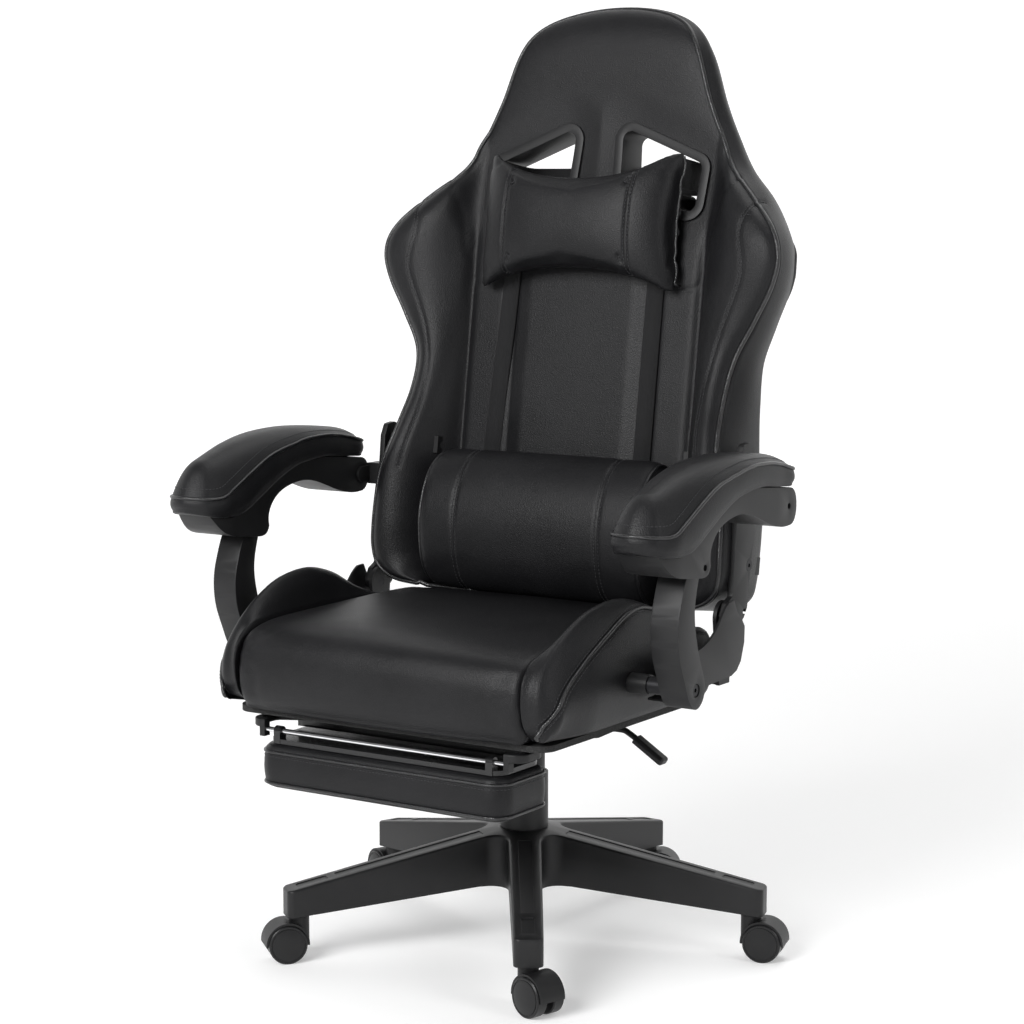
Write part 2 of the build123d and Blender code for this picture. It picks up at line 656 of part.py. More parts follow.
# Side wings: they rise from the front face to the rim that the piping follows.
RIM = ((-50, 117), (27, 124), (112, 125), (150, 124), (190, 112), (234, 95), (291, 83),
       (351, 86), (430, 99), (471, 96), (515, 80), (553, 58), (590, 49))
with BuildPart() as wing:
    with BuildSketch(BACK.offset(40)):
        add(back_outline())
        with Locations((0, 400)):
            Rectangle(374, 1200, mode=Mode.SUBTRACT)
        with Locations((-300, 300)):
            Rectangle(600, 1200, mode=Mode.SUBTRACT)
    extrude(amount=100)
    with BuildSketch(BACK_SIDE):
        with BuildLine():
            Spline(*RIM)
            Polyline(RIM[-1], (600, 35), (-50, 35), RIM[0])
        make_face()
    extrude(amount=400, mode=Mode.INTERSECT)
    with BuildSketch(BACK.offset(116.3)):
        Polygon((281, -24), (296, -12), (303, 10), (303, 72), (296, 112), (281, 135), align=None)
    extrude(amount=7)
    add(behind_front_face(0.4), mode=Mode.SUBTRACT)
    add(back_channel.part, mode=Mode.SUBTRACT)
    with BuildSketch(side_plane(272)):
        with Locations(RECLINE_AXIS):
            Circle(25)
    extrude(amount=40, mode=Mode.SUBTRACT)
    with BuildSketch(BACK.offset(66)):
        slots(14, Mode.ADD)
    extrude(amount=-30, mode=Mode.SUBTRACT)
save(wing.part, "wing_right")
save(mirror(wing.part, about=Plane.YZ), "wing_left")

# ---- Side brackets: flat bars that carry the backrest on the recline axis -----------
BRACKET_IN, BRACKET_OUT = 284.5, 292.5
EAR_IN, EAR_OUT = 304.2, 308.6

with BuildPart() as side_bracket:
    with BuildSketch(side_plane(BRACKET_IN)) as bar:
        Polygon(
            (52, 495), (58, 560), (64, 620), (70, 677), (78, 693), (94, 695), (110, 687),
            (116, 672), (113, 578), (101, 531), (93, 476), (84, 463), (66, 452), (48, 447),
            (28, 470), (38, 488), align=None,
        )
        fillet(bar.vertices(), 6)
    extrude(amount=BRACKET_OUT - BRACKET_IN)
    with BuildSketch(side_plane(BRACKET_IN)):
        with Locations((72, 622)):
            Rectangle(26, 30)
    extrude(amount=EAR_OUT - BRACKET_IN)
    with BuildSketch(side_plane(EAR_IN)):
        with Locations(REAR_PIVOT):
            Circle(11)
        with Locations((64, 622)):
            Rectangle(42, 22)
    extrude(amount=EAR_OUT - EAR_IN)
    with BuildSketch(side_plane(EAR_OUT)):
        with Locations(REAR_PIVOT):
            Circle(5)
    extrude(amount=14)
    with BuildSketch(side_plane(BRACKET_IN)):
        with Locations(RECLINE_AXIS):
            Circle(RECLINE_BOLT + FIT)
        with Locations(*BRACKET_BOLTS):
            Circle(BRACKET_BOLT + THREAD_FIT)
        with Locations((85, 471)):
            Circle(4)
    extrude(amount=20, mode=Mode.SUBTRACT)
    with BuildSketch(side_plane(BRACKET_OUT - 4)):
        with Locations(*BRACKET_BOLTS):
            Circle(9)
    extrude(amount=20, mode=Mode.SUBTRACT)
save(side_bracket.part, "side_bracket_right")
save(mirror(side_bracket.part, about=Plane.YZ), "side_bracket_left")

with BuildPart() as bracket_bolts:
    with BuildSketch(side_plane(262)):
        with Locations(*BRACKET_BOLTS):
            Circle(BRACKET_BOLT)
    extrude(amount=28)
    with BuildSketch(side_plane(BRACKET_OUT - 3.9)):
        with Locations(*BRACKET_BOLTS):
            Circle(8)
            RegularPolygon(3, 6, mode=Mode.SUBTRACT)
    extrude(amount=3.5)
    mirror(about=Plane.YZ)
save(bracket_bolts.part, "bracket_bolts")

# ---- Pillows and their straps ---------------------------------------------------
LUMBAR_HALF = 180.0
EAR_X, EAR_TOP, EAR_LOW = 157.0, 586.0, 394.0   # the four pointed corners of the head pillow
HEAD_DEPTH = 62.0

with BuildPart() as lumbar_pillow:
    with BuildSketch(BACK_SIDE):
        with BuildLine():
            Spline((-12, PILLOW_BACK), (-28, 95), (-26, 125), (5, 150), (60, 160), (115, 148),
                   (145, 120), (150, 95), (137, PILLOW_BACK))
            Line((137, PILLOW_BACK), (-12, PILLOW_BACK))
        make_face()
    extrude(amount=LUMBAR_HALF, both=True)
save(lumbar_pillow.part, "lumbar_pillow")

with BuildPart() as head_pillow:
    with BuildSketch(BACK.offset(64)):
        with BuildLine():
            ThreePointArc((-EAR_X, EAR_TOP), (0, 562), (EAR_X, EAR_TOP))
            ThreePointArc((EAR_X, EAR_TOP), (148, 492), (EAR_X, EAR_LOW))
            ThreePointArc((EAR_X, EAR_LOW), (0, 430), (-EAR_X, EAR_LOW))
            ThreePointArc((-EAR_X, EAR_LOW), (-148, 492), (-EAR_X, EAR_TOP))
        make_face()
    extrude(amount=HEAD_DEPTH)
    fillet(head_pillow.faces().filter_by(BACK).sort_by(Axis.Y)[0].edges(), 30)
save(head_pillow.part, "head_pillow")

STRAP, STRAP_X, STRAP_WIDTH = 2.2, 117.0, 27.0
SLOT_V, FRONT_W, REAR_W, BUCKLE_V = 522.0, 61.2, -10.2, 330.0
with BuildPart() as pillow_straps:
    for side in (-1, 1):
        with BuildSketch(BACK_SIDE.offset(side * STRAP_X)):
            Polygon((60, FRONT_W), (SLOT_V - STRAP, FRONT_W), (SLOT_V - STRAP, REAR_W + STRAP),
                    (BUCKLE_V, REAR_W + STRAP), (BUCKLE_V, REAR_W), (SLOT_V, REAR_W),
                    (SLOT_V, FRONT_W + STRAP), (60, FRONT_W + STRAP), align=None)
        extrude(amount=STRAP_WIDTH / 2, both=True)
    with BuildSketch(BACK.offset(REAR_W)):
        with Locations((0, BUCKLE_V + STRAP_WIDTH / 2)):
            Rectangle(2 * STRAP_X + STRAP_WIDTH, STRAP_WIDTH)
    extrude(amount=STRAP)
    # Elastic band of the head pillow, through both slots and across the bridge
    with BuildSketch(BACK_LEVEL.offset(545)):
        with Locations((0, -27)):
            Rectangle(108, 73.6)
        with Locations((0, -29)):
            Rectangle(104, 73.6, mode=Mode.SUBTRACT)
    extrude(amount=24)
save(pillow_straps.part, "pillow_straps")

# ---- Armrests -------------------------------------------------------------------
UNDER_PAD = ((-326, 608), (-300, 597), (-271, 590), (-237, 590), (-215, 597), (-184, 613),
             (-149, 631), (-112, 645), (-75, 651), (-37, 653), (-3, 650), (45, 646))
PAD_TOP = ((44, 681), (29, 688), (-33, 695), (-94, 697), (-153, 693), (-202, 681), (-238, 663),
           (-262, 650), (-300, 642), (-325, 636), (-334, 622))

with BuildPart() as arm_shell:
    with BuildSketch(side_plane(SHELL_INNER)):
        with BuildLine():
            Spline(*UNDER_PAD)
            Spline((45, 646), (60, 638), (64, 622), (58, 603), (44, 597))
            Spline((44, 597), (10, 599), (-30, 611), (-75, 624), (-115, 622), (-150, 607),
                   (-163, 590), (-164, 570))
            Spline((-164, 570), (-170, 560), (-196, 558), (-240, 563), (-272, 571), (-300, 588),
                   (-326, 608))
        make_face()
    extrude(amount=SHELL_OUTER - SHELL_INNER)
    # The room the top of the leg swings in, open below and behind
    with BuildSketch(side_plane(LEG_INNER - 0.8)):
        with Locations(LEG_PIVOT):
            Circle(16)
        Polygon((-232, 530), (-232, 567), (-212, 576), (-190, 580), (-162, 578), (-150, 530),
                align=None)
    extrude(amount=LEG_OUTER - LEG_INNER + 1.6, mode=Mode.SUBTRACT)
    with BuildSketch(side_plane(LEG_INNER - 3)):
        with Locations(LEG_PIVOT):
            Circle(5)
    extrude(amount=LEG_OUTER - LEG_INNER + 6)
    with BuildSketch(side_plane(SHELL_OUTER - 4)):
        with Locations(LEG_PIVOT, REAR_PIVOT):
            Circle(4)
    extrude(amount=10, mode=Mode.SUBTRACT)
    with BuildSketch(side_plane(SHELL_INNER - 5)):
        with Locations(REAR_PIVOT):
            Circle(6.2)
    extrude(amount=20, mode=Mode.SUBTRACT)

with BuildPart() as arm_pad:
    with BuildSketch(side_plane(300)):
        with BuildLine():
            Spline(*[(y, z + 0.6) for y, z in UNDER_PAD])
            Line((45, 646.6), PAD_TOP[0])
            Spline(*PAD_TOP)
            Line(PAD_TOP[-1], (-326, 608.6))
        make_face()
    extrude(amount=90)
    with BuildSketch(Plane.XY.offset(560)):
        with BuildLine():
            Polyline((309.5, 60), (309.5, -60), (301, -130), (301, -300))
            RadiusArc((301, -300), (335, -334), 34)
            Line((335, -334), (355, -334))
            RadiusArc((355, -334), (389, -300), 34)
            Polyline((389, -300), (389, -150), (380, 60), (309.5, 60))
        make_face()
    extrude(amount=160, mode=Mode.INTERSECT)

with BuildPart() as arm_leg:
    with BuildSketch(side_plane(LEG_INNER)):
        with BuildLine():
            Spline((-192, 569), (-203, 552), (-211, 532), (-218, 508), (-219, 480), (-214, 456),
                   (-203, 430), (-193, 408), (-184, 396), (-173, 391), (-160, 396), (-151, 413),
                   (-158, 438), (-168, 462), (-175, 486), (-178, 517), (-172, 545), (-164, 569))
            ThreePointArc((-164, 569), (-178, 583), (-192, 569))
        make_face()
    extrude(amount=LEG_OUTER - LEG_INNER)
    with BuildSketch(side_plane(LEG_INNER)):
        with Locations(FOOT_PIVOT):
            Circle(6 + FIT)
        with Locations(LEG_PIVOT):
            Circle(5 + FIT)
    extrude(amount=LEG_OUTER - LEG_INNER, mode=Mode.SUBTRACT)
    with BuildSketch(side_plane(LEG_OUTER - 4.6)):
        with Locations(FOOT_PIVOT):
            Circle(8.5)
    extrude(amount=10, mode=Mode.SUBTRACT)

for piece, name in ((arm_shell, "arm_shell"), (arm_pad, "arm_pad"), (arm_leg, "arm_leg")):
    save(piece.part, f"{name}_right")
    save(mirror(piece.part, about=Plane.YZ), f"{name}_left")

# ---- Footrest, stowed under the seat ----------------------------------------------
SLIDE = 11.0
with BuildPart() as footrest_rails:
    for side in (-1, 1):
        with Locations((side * SLIDE_X, -68.5, SLIDE_Z)):
            Box(17, 327, 17)
            Box(12, 400, 12, mode=Mode.SUBTRACT)
save(footrest_rails.part, "footrest_rails")

with BuildPart() as footrest_frame:
    with BuildLine(Plane.XY.offset(SLIDE_Z)):
        FilletPolyline((SLIDE_X, 88), (SLIDE_X, -246), (206, -284), (206, ROD_Y), (186, ROD_Y),
                       radius=14)
    with BuildSketch(Plane(origin=(SLIDE_X, 88, SLIDE_Z), z_dir=(0, -1, 0))):
        RectangleRounded(SLIDE, SLIDE, 2)
    sweep()
    with Locations((190, ROD_Y, SLIDE_Z - 7)):
        Box(8, 11, 20)
    with BuildSketch(side_plane(180)):
        with Locations((ROD_Y, ROD_Z)):
            Circle(3.55)
    extrude(amount=12, mode=Mode.SUBTRACT)
    mirror(about=Plane.YZ)
save(footrest_frame.part, "footrest_frame")

with BuildPart() as footrest_rod:
    with BuildSketch(side_plane(-190)):
        with Locations((ROD_Y, ROD_Z)):
            Circle(3.5)
    extrude(amount=380)
save(footrest_rod.part, "footrest_rod")

with BuildPart() as footrest_tray:
    with BuildSketch(Plane.XY.offset(314)):
        with Locations((0, -285)):
            RectangleRounded(364, 96, 20)
    extrude(amount=6)
    for x_lug in (-170, 160):
        with BuildSketch(side_plane(x_lug)):
            with Locations((ROD_Y, ROD_Z)):
                Circle(6.5)
            with Locations((ROD_Y, 322)):
                Rectangle(13, 16)
        extrude(amount=10)
    with BuildSketch(side_plane(-200)):
        with Locations((ROD_Y, ROD_Z)):
            Circle(3.5 + FIT)
    extrude(amount=400, mode=Mode.SUBTRACT)
save(footrest_tray.part, "footrest_tray")

with BuildPart() as footrest_pad:
    with BuildSketch(Plane.XY.offset(255)):
        with Locations((0, -286)):
            RectangleRounded(2 * FOOT_HALF, 114, 26)
    extrude(amount=58.6)
    fillet(footrest_pad.faces().sort_by(Axis.Z)[0].edges(), 8)
save(footrest_pad.part, "footrest_pad")
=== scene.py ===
"""The looks of a black gaming chair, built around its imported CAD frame. Metres, +Z up."""
import json
import math

import bmesh
import bpy
import numpy as np
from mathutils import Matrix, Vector
from mathutils.bvhtree import BVHTree


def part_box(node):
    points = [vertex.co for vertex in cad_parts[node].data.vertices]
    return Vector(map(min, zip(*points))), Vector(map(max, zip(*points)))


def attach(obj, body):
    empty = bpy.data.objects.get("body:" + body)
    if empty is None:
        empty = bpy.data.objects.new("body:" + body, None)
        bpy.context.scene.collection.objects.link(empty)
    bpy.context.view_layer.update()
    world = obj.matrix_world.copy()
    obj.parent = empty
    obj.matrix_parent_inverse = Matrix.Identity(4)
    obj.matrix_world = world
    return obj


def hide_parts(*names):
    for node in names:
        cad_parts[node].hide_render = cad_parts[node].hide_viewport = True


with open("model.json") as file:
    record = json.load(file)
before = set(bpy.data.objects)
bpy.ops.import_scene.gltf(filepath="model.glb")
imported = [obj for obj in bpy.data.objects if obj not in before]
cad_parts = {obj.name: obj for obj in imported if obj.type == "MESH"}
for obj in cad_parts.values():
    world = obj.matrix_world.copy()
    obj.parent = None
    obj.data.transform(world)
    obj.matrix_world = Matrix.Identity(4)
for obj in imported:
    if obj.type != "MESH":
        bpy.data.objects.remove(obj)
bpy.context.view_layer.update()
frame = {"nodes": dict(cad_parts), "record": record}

SLOTS = {entry["node"]: entry["material_slot"] for entry in frame["record"]["subparts"]}
BODY_OF = {n: body for body, nodes in frame["record"]["behaviour"]["bodies"].items() for n in nodes}

SIDES = ((-1, "left"), (1, "right"))


# ---- Curves in numbers ----------------------------------------------------------
CURVE_STEPS = 16
GRAPH_POINTS = 400


def mm(*points):
    """Points written in millimetres, as an array in metres."""
    return np.array(points, float) / 1000


def unit(vectors):
    """Rows of vectors, each scaled to a length of 1."""
    return vectors / np.maximum(np.linalg.norm(vectors, axis=1), 1e-9)[:, None]


def spaced(points, count, closed):
    """count points, evenly spaced along a line of points. A closed line repeats its first point."""
    run = np.r_[0, np.cumsum(np.linalg.norm(np.diff(points, axis=0), axis=1))]
    at = np.linspace(0, run[-1], count + 1)[:-1] if closed else np.linspace(0, run[-1], count)
    return np.column_stack([np.interp(at, run, points[:, k]) for k in range(points.shape[1])])


def smooth_curve(points, count, closed=False):
    """count points, evenly spaced, on a Catmull-Rom curve through points."""
    p = np.asarray(points, float)
    if closed:
        p = np.vstack([p[-1], p, p[0], p[1]])
    else:
        p = np.vstack([2 * p[0] - p[1], p, 2 * p[-1] - p[-2]])
    u = np.linspace(0, 1, CURVE_STEPS + 1)[:-1, None]
    fine = []
    for a, b, c, d in zip(p[:-3], p[1:-2], p[2:-1], p[3:]):
        fine.append(0.5 * (2 * b + (c - a) * u + (2 * a - 5 * b + 4 * c - d) * u**2
                           + (3 * b - 3 * c + d - a) * u**3))
    return spaced(np.vstack(fine + [p[-2:-1]]), count, closed)


def graph(*points):
    """A smooth function through (x, y) points, given in millimetres, for x and y in metres."""
    fine = smooth_curve(mm(*points), GRAPH_POINTS)
    return lambda x: np.interp(x, fine[:, 0], fine[:, 1])


def step(x, low, high):
    """0 below low, 1 above high and smooth between."""
    t = np.clip((np.asarray(x, float) - low) / (high - low), 0, 1)
    return t * t * (3 - 2 * t)


def away_from(points, polygon):
    """Signed distance of (x, y) points from a closed polygon: negative inside it."""
    points = np.asarray(points, float)
    best, inside = np.full(len(points), 1e9), np.zeros(len(points), bool)
    for a, b in zip(polygon, np.roll(polygon, -1, axis=0)):
        edge = b - a
        t = np.clip(((points - a) @ edge) / (edge @ edge), 0, 1)
        best = np.minimum(best, np.linalg.norm(points - a - t[:, None] * edge, axis=1))
        crosses = (a[1] > points[:, 1]) != (b[1] > points[:, 1])
        with np.errstate(divide="ignore", invalid="ignore"):
            at = edge[0] * (points[:, 1] - a[1]) / edge[1] + a[0]
        inside ^= crosses & (points[:, 0] < at)
    return np.where(inside, -best, best)


def outward(loop):
    """Unit normals of a closed loop of (x, y) points, pointing out of it."""
    run = np.roll(loop, -1, axis=0) - np.roll(loop, 1, axis=0)
    normal = unit(np.column_stack([run[:, 1], -run[:, 0]]))
    if away_from(loop[:1] + normal[:1] * 0.002, loop)[0] < 0:
        normal = -normal
    return normal


# ---- The backrest's plane: v up the lean, w forward from its rear face ------------
LEAN = math.atan(0.15)
BACK_ORIGIN = np.array((0, 0.150, 0.500))
UP_LEAN = np.array((0, math.sin(LEAN), math.cos(LEAN)))
FORWARD = np.array((0, -math.cos(LEAN), math.sin(LEAN)))


# Depths clear of the backrest's front, of the pillows' fronts and of its rear face
AHEAD, FAR_AHEAD, BEHIND = 0.15, 0.20, -0.10


def on_back(x, v, w):
    """Points of the backrest in the row frame, from its own coordinates."""
    x, v, w = np.broadcast_arrays(x, v, w)
    return BACK_ORIGIN + x[..., None] * np.array((1, 0, 0)) + v[..., None] * UP_LEAN + w[..., None] * FORWARD


def over_back(line, count, depth):
    """A smooth path through (x, v) points at one depth from the backrest's rear face."""
    flat = smooth_curve(line, count)
    return on_back(flat[:, 0], flat[:, 1], depth)


# ---- Materials --------------------------------------------------------------------
def material(name, colour, roughness, metallic=0.0, coat=0.0, specular=0.32):
    """A Principled material with its even values on the shader's own sockets."""
    made = bpy.data.materials.new(name)
    made.use_nodes = True
    shader = made.node_tree.nodes["Principled BSDF"]
    values = {"Base Color": (*colour, 1), "Roughness": roughness, "Metallic": metallic, "Coat Weight": coat,
              "Coat Roughness": 0.25, "Specular IOR Level": specular}
    for socket, value in values.items():
        shader.inputs[socket].default_value = value
    return made, made.node_tree, shader


def node(tree, kind, **values):
    """A shader node with its sockets or settings filled in."""
    made = tree.nodes.new(kind)
    for key, value in values.items():
        if key in made.inputs:
            made.inputs[key].default_value = value
        else:
            setattr(made, key, value)
    return made


def object_position(tree):
    """A piece's own coordinates, which move with it."""
    return node(tree, "ShaderNodeTexCoord").outputs["Object"]


def texture(tree, kind, **values):
    """A texture, or the mapping of one, laid out in a piece's own coordinates."""
    made = node(tree, kind, **values)
    tree.links.new(object_position(tree), made.inputs["Vector"])
    return made


def vary(tree, shader, socket, source, low, high):
    """Drives a socket between low and high by a 0 to 1 texture."""
    spread = node(tree, "ShaderNodeMapRange", **{"To Min": low, "To Max": high})
    tree.links.new(source, spread.inputs["Value"])
    tree.links.new(spread.outputs["Result"], shader.inputs[socket])


def add_bump(tree, shader, height, distance, strength):
    """Adds one more layer of bump before those already there."""
    bump = node(tree, "ShaderNodeBump", Distance=distance, Strength=strength)
    tree.links.new(height, bump.inputs["Height"])
    normal = shader.inputs["Normal"]
    if normal.is_linked:
        tree.links.new(normal.links[0].from_socket, bump.inputs["Normal"])
    tree.links.new(bump.outputs["Normal"], normal)


def two_tones(tree, shader, source, dark, light):
    """Mottles the colour between two tones by a 0 to 1 texture."""
    ramp = node(tree, "ShaderNodeValToRGB")
    ramp.color_ramp.elements[0].position = 0.3
    ramp.color_ramp.elements[0].color = (*dark, 1)
    ramp.color_ramp.elements[1].position = 0.75
    ramp.color_ramp.elements[1].color = (*light, 1)
    tree.links.new(source, ramp.inputs["Fac"])
    tree.links.new(ramp.outputs["Color"], shader.inputs["Base Color"])


def leather_material(name, rough, specular):
    """Smooth black synthetic leather: a fine pebble grain, faint creases and uneven polish."""
    made, tree, shader = material(name, (0.008, 0.008, 0.009), rough, specular=specular)
    patches = texture(tree, "ShaderNodeTexNoise", Scale=9.0, Detail=4.0, Roughness=0.55)
    pebbles = texture(tree, "ShaderNodeTexVoronoi", Scale=820.0, feature="SMOOTH_F1", Smoothness=0.6)
    creases = texture(tree, "ShaderNodeTexNoise", Scale=60.0, Detail=6.0, Roughness=0.6, Distortion=0.6)
    soft = texture(tree, "ShaderNodeTexNoise", Scale=14.0, Detail=2.0, Roughness=0.45)
    two_tones(tree, shader, patches.outputs["Fac"], (0.0055, 0.0055, 0.0062), (0.0095, 0.0095, 0.0105))
    vary(tree, shader, "Roughness", patches.outputs["Fac"], rough - 0.06, rough + 0.07)
    add_bump(tree, shader, pebbles.outputs["Distance"], 0.0005, 0.6)
    add_bump(tree, shader, creases.outputs["Fac"], 0.0006, 0.22)
    add_bump(tree, shader, soft.outputs["Fac"], 0.004, 0.16)
    return made


def plastic_material(name, colour, rough_low, rough_high, grain, depth, coat=0.0):
    """Moulded black plastic: a fine spark-eroded texture and slightly uneven gloss."""
    made, tree, shader = material(name, colour, (rough_low + rough_high) / 2, coat=coat)
    grains = texture(tree, "ShaderNodeTexNoise", Scale=grain, Detail=3.0, Roughness=0.7)
    patches = texture(tree, "ShaderNodeTexNoise", Scale=11.0, Detail=4.0, Roughness=0.6)
    light = tuple(c * 1.5 + 0.002 for c in colour)
    two_tones(tree, shader, patches.outputs["Fac"], colour, light)
    vary(tree, shader, "Roughness", patches.outputs["Fac"], rough_low, rough_high)
    add_bump(tree, shader, grains.outputs["Fac"], 0.0002, depth)
    return made


def metal_material(name, colour, rough_low, rough_high, metallic):
    """Plated, oiled or powder-coated steel with faint smears and fine scratches along its length."""
    made, tree, shader = material(name, colour, (rough_low + rough_high) / 2, metallic=metallic)
    smears = texture(tree, "ShaderNodeTexNoise", Scale=26.0, Detail=5.0, Roughness=0.65)
    stretch = texture(tree, "ShaderNodeMapping", Scale=(30, 700, 700))
    scratches = node(tree, "ShaderNodeTexNoise", Scale=1.0, Detail=2.0)
    tree.links.new(stretch.outputs["Vector"], scratches.inputs["Vector"])
    dark = tuple(c * 0.8 for c in colour)
    two_tones(tree, shader, smears.outputs["Fac"], dark, colour)
    vary(tree, shader, "Roughness", smears.outputs["Fac"], rough_low, rough_high)
    add_bump(tree, shader, scratches.outputs["Fac"], 0.00005, 0.3)
    return made


def woven_material(name, colour, pitch):
    """Tightly woven tape: ribs across and threads along, at the real pitch."""
    made, tree, shader = material(name, colour, 0.75, specular=0.3)
    ribs = texture(tree, "ShaderNodeTexWave", Scale=1 / pitch, Distortion=0.4, Detail=1.0,
                   bands_direction="Z")
    threads = texture(tree, "ShaderNodeTexWave", Scale=0.7 / pitch, Distortion=0.5, bands_direction="X")
    fuzz = texture(tree, "ShaderNodeTexNoise", Scale=1400.0, Detail=2.0)
    light = tuple(c * 2.2 for c in colour)
    two_tones(tree, shader, ribs.outputs["Fac"], colour, light)
    vary(tree, shader, "Roughness", fuzz.outputs["Fac"], 0.6, 0.85)
    for weave, strength in ((fuzz, 0.2), (threads, 0.3), (ribs, 0.5)):
        add_bump(tree, shader, weave.outputs["Fac"], 0.0004, strength)
    return made


def board_material():
    """The thin black dust cloth stapled under the seat."""
    made, tree, shader = material("dust_cloth", (0.02, 0.02, 0.02), 0.9)
    speckle = texture(tree, "ShaderNodeTexVoronoi", Scale=650.0)
    two_tones(tree, shader, speckle.outputs["Distance"], (0.012, 0.012, 0.012), (0.03, 0.03, 0.03))
    add_bump(tree, shader, speckle.outputs["Distance"], 0.0003, 0.4)
    return made


LEATHER = leather_material("leather_black", 0.41, 0.22)
WELT = leather_material("leather_welt", 0.30, 0.55)
THREAD = woven_material("thread_black", (0.03, 0.03, 0.032), 0.0006)
MATERIALS = {
    "leather": LEATHER,
    "moulded_plastic": plastic_material("plastic_moulded", (0.0065, 0.0065, 0.007), 0.38, 0.52, 900.0, 0.3),
    "base_nylon": plastic_material("plastic_nylon", (0.008, 0.008, 0.0085), 0.36, 0.5, 700.0, 0.35),
    "tray_plastic": plastic_material("plastic_tray", (0.007, 0.007, 0.0075), 0.2, 0.32, 500.0, 0.1, 0.2),
    "castor_wheel": plastic_material("plastic_wheel", (0.008, 0.008, 0.0085), 0.28, 0.42, 800.0, 0.2),
    "black_steel": metal_material("steel_black", (0.008, 0.008, 0.0085), 0.4, 0.55, 0.0),
    "dark_bolts": metal_material("steel_oxide", (0.022, 0.022, 0.024), 0.35, 0.5, 0.6),
    "bright_steel": metal_material("steel_chrome", (0.82, 0.82, 0.84), 0.08, 0.2, 1.0),
    "seat_board": board_material(),
    "webbing": woven_material("webbing_black", (0.007, 0.007, 0.0075), 0.0011),
}


# ---- Building pieces ----------------------------------------------------------------
def piece(name, points, faces, paint, weld=1e-5):
    """A mesh object from points and faces, welded, facing outwards and smooth shaded."""
    mesh = bpy.data.meshes.new(name)
    mesh.from_pydata(np.asarray(points, float).tolist(), [], [list(map(int, f)) for f in faces])
    work = bmesh.new()
    work.from_mesh(mesh)
    bmesh.ops.remove_doubles(work, verts=work.verts, dist=weld)
    bmesh.ops.dissolve_degenerate(work, edges=work.edges, dist=1e-7)
    bmesh.ops.recalc_face_normals(work, faces=work.faces)
    work.to_mesh(mesh)
    work.free()
    mesh.shade_smooth()
    made = bpy.data.objects.new(name, mesh)
    bpy.context.scene.collection.objects.link(made)
    made.data.materials.append(paint)
    return made


def ring_faces(rings, around, first=0):
    """Quads that join rings of points, each ring being around points."""
    faces = []
    for i in range(rings - 1):
        for j in range(around):
            k = (j + 1) % around
            a, b = first + i * around, first + (i + 1) * around
            faces.append((a + j, a + k, b + k, b + j))
    return faces


def skin(name, rings, paint):
    """A closed piece from rings of points, with a flat cap on each end ring."""
    rings = np.asarray(rings, float)
    count, around = rings.shape[:2]
    faces = ring_faces(count, around)
    faces += [tuple(range(around))[::-1], tuple(range((count - 1) * around, count * around))]
    return piece(name, rings.reshape(-1, 3), faces, paint)


def settle(made, body, stands_for=()):
    """Hangs a finished piece on its body and hides the CAD nodes that it stands for."""
    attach(made, body)
    if stands_for:
        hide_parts(*stands_for)
    return made


def apply_modifiers(made):
    """Bakes an object's modifiers into its mesh."""
    bpy.context.view_layer.update()
    done = made.evaluated_get(bpy.context.evaluated_depsgraph_get())
    mesh = bpy.data.meshes.new_from_object(done)
    made.modifiers.clear()
    made.data = mesh
    mesh.shade_smooth()
    return made


def tangents_along(path, closed=False):
    """Unit tangents of a path of points."""
    if closed:
        ahead, behind = np.roll(path, -1, axis=0), np.roll(path, 1, axis=0)
    else:
        ahead, behind = np.vstack([path[1:], path[-1:]]), np.vstack([path[:1], path[:-1]])
    return unit(ahead - behind)


def piping(name, path, radius, paint=WELT, closed=False, sides=8):
    """A round welt of a given radius along a path."""
    path = np.asarray(path, float)
    tangents = tangents_along(path, closed)
    # Any direction will do that no path starts along
    normal = np.cross(tangents[0], (0.3, 0.5, 0.8))
    rings = []
    for at, tangent in zip(path, tangents):
        normal = normal - tangent * (normal @ tangent)
        normal = normal / np.linalg.norm(normal)
        other = np.cross(tangent, normal)
        turn = np.linspace(0, 2 * math.pi, sides, endpoint=False)[:, None]
        rings.append(at + radius * (np.cos(turn) * normal + np.sin(turn) * other))
    if not closed:
        return skin(name, rings, paint)
    # The last ring meets the first at whichever of its points is nearest.
    rings, count = np.array(rings), len(rings)
    faces = ring_faces(count, sides)
    shift = int(np.argmin(np.linalg.norm(rings[0] - rings[-1][0], axis=1)))
    last = (count - 1) * sides
    faces += [(last + j, last + (j + 1) % sides, (j + 1 + shift) % sides, (j + shift) % sides)
              for j in range(sides)]
    return piece(name, rings.reshape(-1, 3), faces, paint)


def tree_of(made):
    """A ray-casting tree of a piece's mesh at rest."""
    mesh = made.data
    return BVHTree.FromPolygons([v.co.copy() for v in mesh.vertices], [p.vertices[:] for p in mesh.polygons])


def lay_on(tree, path, direction, reach=0.2):
    """Drops each point of a path along a direction onto a surface: points and normals."""
    direction = Vector(direction).normalized()
    places, normals = [], []
    for at in path:
        hit, normal, _, _ = tree.ray_cast(Vector(at) - direction * reach, direction, 2 * reach)
        if hit is None:
            hit, normal, _, _ = tree.find_nearest(Vector(at))
        if normal.dot(direction) > 0:
            normal = -normal
        places.append(hit)
        normals.append(normal)
    return np.array(places), np.array(normals)


def snap_to(tree, path):
    """The nearest points of a surface to a path, with their normals."""
    found = [tree.find_nearest(Vector(at)) for at in path]
    return np.array([f[0] for f in found]), np.array([f[1] for f in found])


def vertex_values(made, kind):
    """Every vertex's place, with kind "co", or its normal, with kind "normal"."""
    values = np.empty(len(made.data.vertices) * 3)
    made.data.vertices.foreach_get(kind, values)
    return values.reshape(-1, 3)


def put_points(made, points):
    """Moves a piece's vertices to new places."""
    made.data.vertices.foreach_set("co", points.ravel())
    made.data.update()


